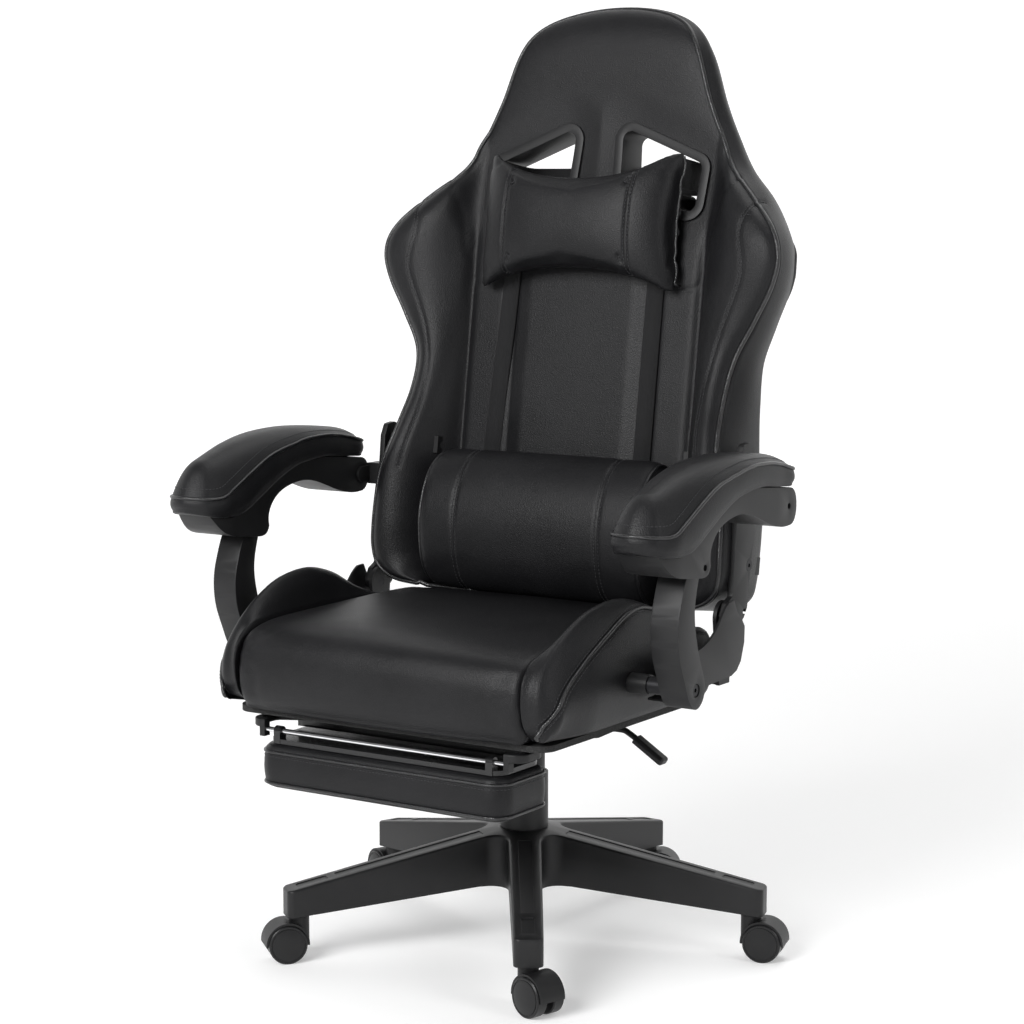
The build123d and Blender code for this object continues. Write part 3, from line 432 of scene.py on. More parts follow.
def groove(made, path, width, depth):
    """Presses a seam line into a piece, as stitching pulls padding down."""
    co, normals = vertex_values(made, "co"), vertex_values(made, "normal")
    path = np.asarray(path, float)
    low, high = path.min(0) - 3 * width, path.max(0) + 3 * width
    near = np.where(((co >= low) & (co <= high)).all(1))[0]
    if not len(near):
        return
    best = np.full(len(near), 1e9)
    for a, b in zip(path[:-1], path[1:]):
        edge = b - a
        length = max(edge @ edge, 1e-12)
        t = np.clip(((co[near] - a) @ edge) / length, 0, 1)
        best = np.minimum(best, np.linalg.norm(co[near] - a - t[:, None] * edge, axis=1))
    co[near] -= normals[near] * (depth * np.exp(-(best / width) ** 2))[:, None]
    put_points(made, co)


STITCH, STITCH_GAP, THREAD_RADIUS, THREAD_LIFT = 0.0034, 0.0016, 0.00048, 0.0002
# Of each section of a stitch: its share of the length, and its size and lift in thread radii
STITCH_SECTIONS = ((0.0, 0.35, -0.4), (0.25, 1.0, 0.35), (0.75, 1.0, 0.35), (1.0, 0.35, -0.4))
STITCH_SIDES = 6


def stitching(name, paths, body):
    """Rows of single thread stitches lying along paths, each path being points and normals."""
    points, faces = [], []
    for places, normals in paths:
        run = np.r_[0, np.cumsum(np.linalg.norm(np.diff(places, axis=0), axis=1))]
        for start in np.arange(STITCH_GAP, run[-1] - STITCH, STITCH + STITCH_GAP):
            ends = [np.array([np.interp(s, run, places[:, k]) for k in range(3)])
                    for s in (start, start + STITCH)]
            up = np.array([np.interp(start + STITCH / 2, run, normals[:, k]) for k in range(3)])
            along = ends[1] - ends[0]
            across = np.cross(along, up)
            if np.linalg.norm(across) < 1e-9:
                continue
            across = across / np.linalg.norm(across) * THREAD_RADIUS
            up = up / np.linalg.norm(up) * THREAD_RADIUS
            first = len(points)
            for share, size, lift in STITCH_SECTIONS:
                middle = ends[0] + along * share + up * lift
                for turn in range(STITCH_SIDES):
                    angle = turn * 2 * math.pi / STITCH_SIDES
                    points.append(middle + size * (math.cos(angle) * across + math.sin(angle) * up))
            faces += ring_faces(len(STITCH_SECTIONS), STITCH_SIDES, first)
            last = len(points) - STITCH_SIDES
            faces += [tuple(range(first, first + STITCH_SIDES))[::-1], tuple(range(last, len(points)))]
    return settle(piece(name, points, faces, THREAD, weld=1e-7), body)


def stitch_row(made, name, path, body):
    """One row of stitches on a piece, along the line of its surface that is nearest to a path."""
    places, normals = snap_to(tree_of(made), path)
    stitching(name, [(places + normals * THREAD_LIFT, normals)], body)


def welt(made, name, path, radius, body, lift=0.0, closed=False):
    """Piping sewn onto a piece, along the line of its surface that is nearest to a path."""
    places, normals = snap_to(tree_of(made), path)
    settle(piping(name, places + normals * lift, radius, closed=closed), body)


def seam(made, name, path, body, rows, direction=None, width=0.0028, depth=0.0016):
    """A sewn seam: a pressed line, and rows of stitches at given distances beside it."""
    tree = tree_of(made)
    places, normals = lay_on(tree, path, direction) if direction is not None else snap_to(tree, path)
    groove(made, places, width, depth)
    tree = tree_of(made)
    sides = unit(np.cross(tangents_along(places), normals))
    laid = []
    for row in rows:
        spots, ups = snap_to(tree, places + sides * row)
        ups = np.where((ups * normals).sum(1)[:, None] < 0, -ups, ups)
        laid.append((spots + ups * THREAD_LIFT, ups))
    stitching(name + "_stitches", laid, body)


PUFF_FRAMES = 20


def puff(made, cap, pressure, voxel):
    """Stuffs a form by cloth simulation: it swells, but no point moves further than cap."""
    remesh = made.modifiers.new("remesh", "REMESH")
    remesh.mode = "VOXEL"
    remesh.voxel_size = voxel
    apply_modifiers(made)
    before = vertex_values(made, "co")
    cloth = made.modifiers.new("cloth", "CLOTH")
    cloth.settings.use_pressure = True
    cloth.settings.uniform_pressure_force = pressure
    cloth.settings.effector_weights.gravity = 0
    cloth.settings.tension_stiffness = 40
    cloth.settings.compression_stiffness = 40
    cloth.settings.bending_stiffness = 2
    cloth.point_cache.frame_start, cloth.point_cache.frame_end = 1, PUFF_FRAMES
    scene = bpy.context.scene
    for number in range(1, PUFF_FRAMES + 1):
        scene.frame_set(number)
    apply_modifiers(made)
    scene.frame_set(1)
    move = vertex_values(made, "co") - before
    length = np.linalg.norm(move, axis=1)[:, None]
    move *= np.minimum(1, cap / np.maximum(length, 1e-9))
    put_points(made, before + move)
    relax = made.modifiers.new("relax", "SMOOTH")
    relax.factor, relax.iterations = 0.5, 8
    sub = made.modifiers.new("smooth", "SUBSURF")
    sub.levels = sub.render_levels = 1
    return apply_modifiers(made)


# ---- The backrest ---------------------------------------------------------------------
# Half outline as (x, v), from the bottom centre up the +X side to the crown.
BACK_HALF = mm((0, -45), (130, -45), (215, -44), (252, -38), (275, -22), (283, 2), (284, 30), (283, 68),
               (279, 112), (264, 163), (255, 234), (260, 291), (286, 343), (311, 390), (320, 430), (306, 468),
               (262, 514), (220, 553), (192, 600), (168, 650), (146, 712), (126, 746), (96, 766), (50, 779),
               (0, 783))
BACK_OUTLINE = np.vstack([BACK_HALF, (BACK_HALF[1:-1] * (-1, 1))[::-1]])
FACE = graph((-60, 58), (300, 60), (445, 58), (556, 47), (640, 45), (708, 48), (800, 44))
RIM = graph((-60, 112), (-32, 116), (27, 124), (112, 125), (150, 123), (190, 112), (234, 96), (291, 83),
            (351, 86), (430, 98), (471, 94), (515, 76), (553, 56), (600, 47), (650, 46), (722, 46), (760, 34),
            (783, 20))
# How far the rear edge stands outside the rim, up the lean
REAR = graph((-60, -10), (0, -4), (100, 0), (200, 8), (270, 7), (350, -9), (390, -17), (430, -22),
             (470, -15), (510, 0), (550, 7), (600, 8), (700, 6), (783, -4))
SLOT = mm((38, 612), (168, 560), (165, 489), (42, 533))
SLOT_CORNER = 0.012
WING_ROOT, WING_BULGE, WING_ROLL = 0.187, 0.013, 0.020
CREASE_WIDTH, CREASE_DEPTH = 0.007, 0.006
DOME_RISE, DOME_ROLL = 0.0025, 0.060
PANEL_HALF, PANEL_LOW, PANEL_HIGH, PANEL_RISE = 0.100, 0.035, 0.480, 0.0045
SPINE_LOW, SPINE_HIGH = 0.07, 0.64
SIDE_BULGE, REAR_EDGE, REAR_ROUND, REAR_SWELL = 0.006, 0.010, 0.014, 0.005


def slot_outline(side, grow, count=10):
    """A shoulder slot's outline in (x, v), with round corners, grown outwards."""
    corners = SLOT * (side, 1)
    points = []
    for i, corner in enumerate(corners):
        before, after = corners[i - 1] - corner, corners[(i + 1) % 4] - corner
        before, after = before / np.linalg.norm(before), after / np.linalg.norm(after)
        half = math.acos(np.clip(before @ after, -1, 1)) / 2
        centre = corner + (before + after) / np.linalg.norm(before + after) * SLOT_CORNER / math.sin(half)
        for share in np.linspace(0, 1, count):
            out = -(before + after)
            start, end = -np.array((-before[1], before[0])), np.array((-after[1], after[0]))
            start = start if start @ out > 0 else -start
            end = end if end @ out > 0 else -end
            way = start * (1 - share) + end * share
            points.append(centre + way / np.linalg.norm(way) * (SLOT_CORNER + grow))
    return np.array(points)


def front_depth(x, v, edge, rim):
    """The front surface's depth w: the rim's depth there, and edge the distance in from it."""
    half = np.abs(x)
    base = FACE(v)
    # Lower back: two wings rise from the centre to the rim
    reach = np.maximum(half + edge, WING_ROOT + 0.02)
    up = np.clip((half - WING_ROOT) / (reach - WING_ROOT), 0, 1)
    wing = base + (rim + 0.003 - base) * (1 - (1 - up) ** 1.7) + WING_BULGE * np.sin(math.pi * up) ** 1.3
    wing -= 0.010 * np.clip(1 - edge / WING_ROLL, 0, 1) ** 2.2
    crease = np.exp(-((half - WING_ROOT) / CREASE_WIDTH) ** 2) * (1 - step(v, 0.40, 0.50))
    below = wing - CREASE_DEPTH * crease
    # Head: one domed pad that rolls over to the rim
    roll = np.clip(edge / DOME_ROLL, 0, 1)
    dome = base + DOME_RISE
    head = rim - 0.002 + (dome - rim + 0.002) * np.sqrt(1 - (1 - roll) ** 2.4)
    share = step(v, 0.480, 0.640)
    depth = below * (1 - share) + head * share
    # Between the straps a flat panel stands a little proud
    inset = np.minimum.reduce([PANEL_HALF - half, v - PANEL_LOW, PANEL_HIGH - v])
    depth += PANEL_RISE * step(inset, -0.006, 0.020)
    # The padding dips round both shoulder slots and in the neck between them
    near = np.minimum(*[away_from(np.column_stack([x, v]), slot_outline(s, 0)) for s in (-1, 1)])
    flat = FACE(v) - 0.001
    dip = 1 - step(near, 0.010, 0.060)
    return depth * (1 - dip) + np.minimum(depth, flat) * dip


def backrest():
    """The upholstery of the backrest: front, piped rim, sides and rear, pierced by two slots."""
    around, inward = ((640, 84))
    outline = smooth_curve(BACK_OUTLINE, around, closed=True)
    spine = np.column_stack([np.zeros(around), np.clip(outline[:, 1], SPINE_LOW, SPINE_HIGH)])
    rim = RIM(outline[:, 1])
    out = outline - spine
    length = np.linalg.norm(out, axis=1)
    rings = []
    for share in np.linspace(0, 1, inward) ** 0.9:
        at = spine + out * share
        depth = front_depth(at[:, 0], at[:, 1], length * (1 - share), rim)
        rings.append(on_back(at[:, 0], at[:, 1], depth))
    # From the rim round the side to the rear face
    away = outward(outline)
    flat_bottom = 1 - step(outline[:, 1], -0.034, 0.02)
    lean_out = REAR(outline[:, 1]) * (1 - flat_bottom)
    for share in np.linspace(0.06, 1, 16):
        bulge = SIDE_BULGE * math.sin(math.pi * share) * (1 - flat_bottom)
        at = outline + away * (lean_out * share + bulge)[:, None]
        depth = rim - 0.003 + (REAR_EDGE - rim) * share
        rings.append(on_back(at[:, 0], at[:, 1], depth))
    edge = outline + away * lean_out[:, None]
    for turn in np.linspace(0.2, 1, 5) * math.pi / 2:
        at = edge - away * REAR_ROUND * (1 - math.cos(turn))
        rings.append(on_back(at[:, 0], at[:, 1], REAR_EDGE - 0.011 * math.sin(turn)))
    inner = edge - away * REAR_ROUND
    for share in np.linspace(0.04, 1, 26):
        at = inner + (spine - inner) * share
        swell = -0.001 - REAR_SWELL * math.sin(math.pi / 2 * share)
        rings.append(on_back(at[:, 0], at[:, 1], swell))
    rings = np.array(rings)
    made = piece("back_upholstery", rings.reshape(-1, 3), ring_faces(len(rings), around), LEATHER, weld=2e-5)
    for side in (-1, 1):
        hole = slot_outline(side, 0.0032)
        prism = [on_back(hole[:, 0], hole[:, 1], w) for w in (-0.05, 0.12)]
        cutter = skin("cutter", prism, LEATHER)
        cut = made.modifiers.new("slot", "BOOLEAN")
        cut.operation, cut.solver, cut.object = "DIFFERENCE", "EXACT", cutter
        apply_modifiers(made)
        bpy.data.objects.remove(cutter)
    return made


WING_SEAM = mm((277, 512), (268, 492), (262, 470), (262, 452), (268, 425), (268, 400), (255, 365), (241, 330),
               (231, 290), (226, 250), (226, 205), (233, 160), (241, 120))
HEAD_SEAM = mm((233, 541), (222, 520), (212, 500), (203, 470), (196, 430))
YOKE_SEAM = mm((139, 398), (150, 391), (163, 387), (176, 389), (184, 397))
PANEL_SEAMS = [mm((x, 40), (x, 240), (x, 440)) for x in (128, 106.5)]
ZIP_SEAM = mm((-215, 60), (0, 60), (215, 60))


def back_details(made):
    """Seams, stitching and piping on the backrest."""
    for side, word in SIDES:
        wing = over_back(WING_SEAM * (side, 1), 140, AHEAD)
        seam(made, f"wing_seam_{word}", wing, "back", (0.0, 0.0042), -FORWARD)
        # Head, yoke and panel seams have no stitches that show
        lines = [(HEAD_SEAM, 140, 0.0024, 0.0017), (YOKE_SEAM, 140, 0.0024, 0.0017)]
        lines += [(line, 120, 0.0030, 0.0014) for line in PANEL_SEAMS]
        for line, count, width, depth in lines:
            path = over_back(line * (side, 1), count, AHEAD)
            groove(made, lay_on(tree_of(made), path, -FORWARD)[0], width, depth)
    outline = smooth_curve(BACK_OUTLINE, 520, closed=True)
    rim = on_back(outline[:, 0], outline[:, 1], RIM(outline[:, 1]) - 0.001)
    welt(made, "back_piping", rim, 0.0032, "back", closed=True)
    away = outward(outline)
    rear = outline - away * 0.020
    places, _ = lay_on(tree_of(made), on_back(rear[:, 0], rear[:, 1], BEHIND), FORWARD)
    settle(piping("back_rear_piping", places, 0.0028, closed=True), "back")
    # The rear panel's lower zip seam
    seam(made, "rear_seam", over_back(ZIP_SEAM, 160, BEHIND), "back", (0.004, -0.004), FORWARD)
    # One more row of stitches all round, just inside the rear piping
    inside = outline - away * 0.034
    places, normals = lay_on(tree_of(made), on_back(inside[:, 0], inside[:, 1], BEHIND), FORWARD)
    stitching("rear_stitches", [(places - FORWARD * THREAD_LIFT, normals)], "back")
    settle(made, "back",
           ("back_cushion", "back_rear_panel", "back_centre_pad", "wing_left", "wing_right"))


# ---- Straps ---------------------------------------------------------------------------
def ribbon(name, path, across, width, thickness, paint):
    """A flat strap along a path, with soft edges; across is the direction of its width."""
    path = np.asarray(path, float)
    across = np.asarray(across, float) / np.linalg.norm(across)
    up = unit(np.cross(tangents_along(path), across))
    half, thick = width / 2, thickness / 2
    section = [(-half, 0), (-half + 0.0006, thick), (-half + 0.0035, thick * 0.75), (0, thick * 0.8),
               (half - 0.0035, thick * 0.75), (half - 0.0006, thick), (half, 0), (half - 0.0006, -thick),
               (0, -thick), (-half + 0.0006, -thick)]
    rings = np.array([path + a * across + b * up for a, b in section]).transpose(1, 0, 2)
    return skin(name, rings, paint)


STRAP_X, STRAP_WIDTH, STRAP_THICK = 0.117, 0.027, 0.0022
# The left strap's foot stands this much further out
STRAP_SPLAY = 0.013
# Over the slot's edge and down the rear face, as (v, w), to the rear strap
STRAP_TURN = mm((514, 57), (520, 50), (520.9, 40), (520.9, 20), (520.9, 0), (519, -6.5), (512, -8.8),
                (450, -9.1), (360, -9.1), (325, -9.1))
REAR_STRAP_V, REAR_STRAP_HALF = 0.3435, 0.128
# The rear strap's buckle as (x, v), and half the head pillow's elastic as (x, w)
BUCKLE = mm((-22, 326), (22, 326), (24, 343.5), (22, 361), (-22, 361), (-24, 343.5))
ELASTIC_HALF = mm((-146, 74), (-149, 50), (-150, 20), (-144, -6), (-122, -12.5))
ELASTIC = np.vstack([ELASTIC_HALF, mm((0, -13.5)), (ELASTIC_HALF * (-1, 1))[::-1]])
ELASTIC_V, ELASTIC_WIDTH, ELASTIC_THICK = 0.545, 0.040, 0.002


def straps(made):
    """Two webbing straps down the front, through the slots and joined behind, and the pillow's elastic."""
    webbing, plastic = MATERIALS["webbing"], MATERIALS["moulded_plastic"]
    tree = tree_of(made)
    pieces = []
    for side, word in SIDES:
        rise = np.linspace(0.060, 0.505, 90)
        across = side * STRAP_X - STRAP_SPLAY * (side < 0) * (1 - step(rise, 0.10, 0.42))
        places, _ = lay_on(tree, on_back(across, rise, AHEAD), -FORWARD)
        places = places + FORWARD * 0.0013
        turn = on_back(side * STRAP_X, STRAP_TURN[:, 0], STRAP_TURN[:, 1])
        path = smooth_curve(np.vstack([places[::6], places[-1], turn]), 260)
        pieces.append(ribbon(f"strap_{word}", path, (1, 0, 0), STRAP_WIDTH, STRAP_THICK, webbing))
    cross = on_back(np.linspace(-REAR_STRAP_HALF, REAR_STRAP_HALF, 60), REAR_STRAP_V, -0.0112)
    pieces.append(ribbon("strap_rear", cross, UP_LEAN, STRAP_WIDTH, STRAP_THICK, webbing))
    for strap in pieces:
        settle(strap, "back")
    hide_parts("pillow_straps")
    buckle = smooth_curve(on_back(BUCKLE[:, 0], BUCKLE[:, 1], -0.013), 60, closed=True)
    settle(piping("strap_buckle", buckle, 0.0022, plastic, closed=True, sides=10), "back")
    band = smooth_curve(on_back(ELASTIC[:, 0], ELASTIC_V, ELASTIC[:, 1]), 160)
    elastic = ribbon("pillow_elastic", band, UP_LEAN, ELASTIC_WIDTH, ELASTIC_THICK, webbing)
    settle(elastic, "back")


# ---- Pillows ----------------------------------------------------------------------------
PILLOW_TOP, PILLOW_LOW, PILLOW_HALF, PILLOW_REAR = 0.538, 0.406, 0.161, 0.0655
EAR_RISE, EAR_DROP, EAR_THICK, ROLL_THICK = 0.043, 0.033, 0.0085, 0.0230
PILLOW_SEAM = mm((102, 572), (101, 550), (100, 530), (99, 510), (99, 480), (99, 450), (100, 420), (101, 400),
                 (102, 382))
PILLOW_WELT = mm((160, 567), (155, 545), (151, 515), (149, 477), (151, 440), (155, 410), (160, 387))


def head_pillow():
    """A bone-shaped pillow: a stuffed roll in the middle and pointed ears at its four corners."""
    rings = []
    turn = np.linspace(0, 2 * math.pi, 72, endpoint=False)
    c, n = np.cos(turn), np.sin(turn)
    for s in np.linspace(-1, 1, 97):
        a = abs(s)
        top = PILLOW_TOP + EAR_RISE * a**2.3
        low = PILLOW_LOW - EAR_DROP * a**2.3
        over = max(0.0, (a - 0.90) / 0.10)
        end = math.sqrt(max(0.0, 1 - over**2))
        thick = (EAR_THICK + ROLL_THICK * (1 - a**3) ** 0.65) * (0.22 + 0.78 * end)
        middle, half = (top + low) / 2, (top - low) / 2 - 0.018 * (1 - end)
        power = 2.3 - 0.5 * a**4
        v = middle + half * np.sign(n) * np.abs(n) ** (2 / power)
        w = PILLOW_REAR + thick * (1 + np.sign(c) * np.abs(c) ** (2 / power))
        # The end seam bows inwards between its two ears
        bow = 0.012 * a**6 * (1 - ((v - middle) / half) ** 2)
        rings.append(on_back(PILLOW_HALF * s - math.copysign(1, s) * bow, v, w))
    made = skin("head_pillow_cover", rings, LEATHER)
    return puff(made, 0.004, pressure=3.0, voxel=0.004)


CREASE_SPREAD, CREASE_HALF_WIDTH, CREASE_LENGTH = 0.012, 0.006, 0.028


def creases(made, centre, count, depth, seed):
    """Presses a few soft folds into a cover, fanning out from where it is sewn."""
    rng = np.random.default_rng(seed)
    co, normals = vertex_values(made, "co"), vertex_values(made, "normal")
    for _ in range(count):
        at = centre + rng.normal(0, CREASE_SPREAD, 3)
        way = rng.normal(0, 1, 3)
        way /= np.linalg.norm(way)
        offset = co - at
        along = offset @ way
        off = np.linalg.norm(offset - along[:, None] * way, axis=1)
        shape = np.exp(-(off / CREASE_HALF_WIDTH) ** 2) * np.exp(-(along / CREASE_LENGTH) ** 2)
        co -= normals * (depth * shape)[:, None]
    put_points(made, co)


PILLOW_ROWS, PILLOW_SEAM_WIDTH, PILLOW_SEAM_DEPTH = 0.0026, 0.0035, 0.0026


def pillow_seam(made, name, side, path, direction=None):
    """A deep seam in a stuffed pillow, with a row of stitches on each side of it."""
    seam(made, name, path, "back", (PILLOW_ROWS * side, -PILLOW_ROWS * side), direction,
         PILLOW_SEAM_WIDTH, PILLOW_SEAM_DEPTH)


def head_pillow_details(made):
    """Creases at the ears, seams across the front and a welt at each end."""
    for side, word in SIDES:
        for corner in (0.560, 0.400):
            seed = 7 + int(side * 2 + corner * 10)
            creases(made, on_back(side * 0.135, corner, 0.085), 5, 0.0011, seed)
        across = over_back(PILLOW_SEAM * (side, 1), 120, FAR_AHEAD)
        pillow_seam(made, f"pillow_seam_{word}", side, across, -FORWARD)
        end = smooth_curve(on_back(side * PILLOW_WELT[:, 0], PILLOW_WELT[:, 1], 0.073), 90)
        welt(made, f"pillow_welt_{word}", end, 0.0021, "back")
    settle(made, "back", ("head_pillow",))


LUMBAR_PROFILE = mm((-22, 70), (-39, 80), (-45, 100), (-37, 126), (-12, 146), (25, 157), (62, 161), (98, 155),
                    (128, 140), (147, 117), (152, 95), (147, 79), (137, 70), (100, 69.5), (60, 69.5),
                    (20, 69.5))
LUMBAR_MIDDLE, LUMBAR_REACH = np.array((0.060, 0.112)), np.array((0.10, 0.06))
LUMBAR_HALF, LUMBAR_REAR, LUMBAR_SEAM_X, LUMBAR_WELT_X = 0.178, 0.0692, 0.116, 0.1745


def lumbar_pillow():
    """A D-shaped roll with sewn end caps."""
    loop = smooth_curve(LUMBAR_PROFILE, 96, closed=True)
    centre = loop.mean(0)
    rings = []
    for s in np.r_[-1, -0.994, -0.985, -0.97, np.linspace(-0.95, 0.95, 61), 0.97, 0.985, 0.994, 1]:
        a = abs(s)
        shrink = 1 - 0.10 * np.clip((a - 0.93) / 0.07, 0, 1) ** 2.5
        belly = 1 + 0.018 * math.cos(math.pi / 2 * a)
        at = centre + (loop - centre) * shrink * belly
        at[:, 1] = np.maximum(at[:, 1], LUMBAR_REAR)
        rings.append(on_back(LUMBAR_HALF * s, at[:, 0], at[:, 1]))
    made = skin("lumbar_pillow_cover", rings, LEATHER)
    return puff(made, 0.003, pressure=2.5, voxel=0.005)


def lumbar_details(made):
    """Two seams round the roll, from behind its top to behind its bottom, and piped end caps."""
    turn = np.linspace(-2.0, 2.0, 150)
    round_it = LUMBAR_MIDDLE + LUMBAR_REACH * np.column_stack([np.sin(turn), np.cos(turn)])
    loop = smooth_curve(LUMBAR_PROFILE, 150, closed=True)
    cap = LUMBAR_MIDDLE + (loop - LUMBAR_MIDDLE) * 0.95
    for side, word in SIDES:
        ring = on_back(side * LUMBAR_SEAM_X, round_it[:, 0], round_it[:, 1])
        pillow_seam(made, f"lumbar_seam_{word}", side, ring)
        end = on_back(side * LUMBAR_WELT_X, cap[:, 0], cap[:, 1])
        welt(made, f"lumbar_welt_{word}", end, 0.0022, "back", closed=True)
    settle(made, "back", ("lumbar_pillow",))


# ---- Seat ---------------------------------------------------------------------------
def in_section(x, loop):
    """A loop of (y, z) points, placed at x."""
    return np.column_stack([np.full(len(loop), x), loop])


SEAT_SECTION = mm((-322, 357), (-336, 362), (-346, 380), (-349, 405), (-346, 430), (-334, 450), (-312, 461),
                  (-270, 467), (-180, 469), (-100, 470), (-20, 470), (36, 467), (61, 455), (68, 430),
                  (68, 400), (66, 370), (56, 357), (-60, 357), (-200, 357))
SEAT_HALF, SEAT_EDGE, SEAT_CROWN, SEAT_BOW = 0.2195, 0.012, 0.005, 0.006


def seat_cushion():
    """The flat middle of the seat, between the bolsters."""
    loop = smooth_curve(SEAT_SECTION, 300, closed=True)
    normal = outward(loop)
    rounding = SEAT_HALF - SEAT_EDGE * np.array((0, 0.02, 0.08, 0.2, 0.4, 0.65, 1.0))
    xs = np.r_[rounding, np.linspace(0.200, 0, 34)]
    rings = []
    for x in np.r_[-xs, xs[::-1][1:]]:
        near = np.clip((abs(x) - SEAT_HALF + SEAT_EDGE) / SEAT_EDGE, 0, 1)
        inset = SEAT_EDGE * (1 - math.sqrt(max(0.0, 1 - near**2)))
        share = 1 - (abs(x) / SEAT_HALF) ** 2
        crown = SEAT_CROWN * share * np.clip(normal[:, 1] - 0.1 * normal[:, 0], 0, 1)
        bow = SEAT_BOW * share * np.clip(-normal[:, 0], 0, 1)
        rings.append(in_section(x, loop + normal * (crown + bow - inset)[:, None]))
    return skin("seat_middle", rings, LEATHER)


BOLSTER_CREASE = mm((-322, 362), (-340, 378), (-348, 400), (-349, 425), (-342, 445), (-322, 460), (-290, 467),
                    (-200, 470), (-100, 470), (30, 462))
BOLSTER_CREST = mm((-318, 362), (-336, 375), (-345, 400), (-338, 436), (-308, 470), (-266, 497), (-222, 513),
                   (-165, 517), (-110, 504), (-65, 482), (-20, 464), (30, 454))
BOLSTER_PIPING = mm((-335, 364), (-348, 374), (-331, 400), (-311, 426), (-275, 449), (-239, 468), (-179, 495),
                    (-149, 503), (-125, 503), (-94, 495), (-50, 476), (-10, 460), (30, 450))
# Distances from the middle of the seat, and how much wider the outer edge and the foot grow behind its front
BOLSTER_INNER, BOLSTER_TOP = 0.2215, 0.243
BOLSTER_OUTER, BOLSTER_FLARE = 0.240, 0.022
BOLSTER_FOOT, BOLSTER_FOOT_FLARE, BOLSTER_SIDE_BULGE = 0.244, 0.018, 0.010
ARCH_POINTS = 26


def between(start, end, shares):
    """Points from one (x, y, z) point to another."""
    start, end = np.array(start), np.array(end)
    return [start * (1 - t) + end * t for t in shares]


def bolster(side, word):
    """A raised seat bolster: crest, piped outer edge and a soft side panel."""
    count = 150
    lines = [smooth_curve(line, count) for line in (BOLSTER_CREASE, BOLSTER_CREST, BOLSTER_PIPING)]
    rings = []
    for a, b, c in zip(*lines):
        flare = float(step(c[1] + 0.12 * (c[0] + 0.34), 0.362, 0.415))
        out = BOLSTER_OUTER + BOLSTER_FLARE * flare
        foot = BOLSTER_FOOT + BOLSTER_FOOT_FLARE * float(step(c[0], -0.345, -0.25))
        bottom = (foot, max(-0.335, c[0]), 0.3645)
        inner = (BOLSTER_INNER, max(-0.322, a[0]), 0.3630)
        arch = smooth_curve([(BOLSTER_INNER, *a), (0.231, *(0.35 * a + 0.65 * b)), (BOLSTER_TOP, *b),
                             ((BOLSTER_TOP + out) / 2 + 0.001, *(0.55 * b + 0.45 * c + (0, 0.002))),
                             (out, *c)], ARCH_POINTS)
        down = np.linspace(0, 1, 22)[1:]
        panel = np.array(between((out, *c), bottom, down))
        panel[:, 0] += BOLSTER_SIDE_BULGE * flare * np.maximum(np.sin(math.pi * down), 0) ** 0.7
        under = between(bottom, inner, np.linspace(0, 1, 6)[1:])
        rise = between(inner, (BOLSTER_INNER, *a), np.linspace(0, 1, 10)[1:-1])
        rings.append(np.vstack([arch, panel, under, rise]))
    last = rings[-1]
    middle = last.mean(0)
    for share, back in ((0.985, 0.004), (0.95, 0.007), (0.88, 0.009)):
        rings.append(middle + (last - middle) * (1, share, share) + (0, back, 0))
    rings = np.array(rings) * (side, 1, 1)
    made = skin(f"seat_side_{word}", rings, LEATHER)
    path = rings[3:count, ARCH_POINTS - 1]
    seam(made, f"bolster_seam_{word}", path, "seat", (0.006, -0.006), None, width=0.004, depth=0.0015)
    welt(made, f"bolster_piping_{word}", path, 0.0028, "seat", 0.0008)
    settle(made, "seat", (f"seat_bolster_{word}",))


def seat_details(made):
    """Small gathers in the leather where the seat's front corners are sewn."""
    for side in (-1, 1):
        creases(made, np.array((side * 0.205, -0.340, 0.435)), 7, 0.0012, 31 + side)
        creases(made, np.array((side * 0.200, -0.344, 0.385)), 6, 0.0010, 35 + side)
    settle(made, "seat", ("seat_cushion",))


# ---- Arm pads and footrest pad --------------------------------------------------------
PAD_PLAN = mm((311, 50), (306, 10), (302, -80), (301, -180), (302, -240), (305, -270), (317, -292),
              (345, -303), (373, -292), (385, -270), (388, -240), (389, -180), (388, -80), (384, 10),
              (379, 50), (345, 53))
PAD_LOW = graph((-340, 613), (-326, 609), (-300, 598), (-271, 591.5), (-237, 591.5), (-215, 598),
                (-184, 614.5), (-149, 632.5), (-112, 646.5), (-75, 652.5), (-37, 654.5), (-3, 651.5),
                (45, 647.5), (60, 646))
PAD_SEAM = graph((-345, 625), (-325, 623), (-305, 619), (-270, 618), (-247, 629), (-212, 648), (-170, 667),
                 (-120, 678), (-80, 684), (-30, 684), (13, 678), (50, 669), (60, 667))
PAD_CROWN = graph((-345, 640), (-325, 648), (-300, 657), (-262, 668), (-238, 676), (-202, 687), (-153, 696),
                  (-94, 699), (-33, 696), (29, 689), (44, 684), (60, 680))
PAD_MIDDLE, PAD_SPINE_FRONT, PAD_SPINE_REAR = 0.345, -0.264, 0.012


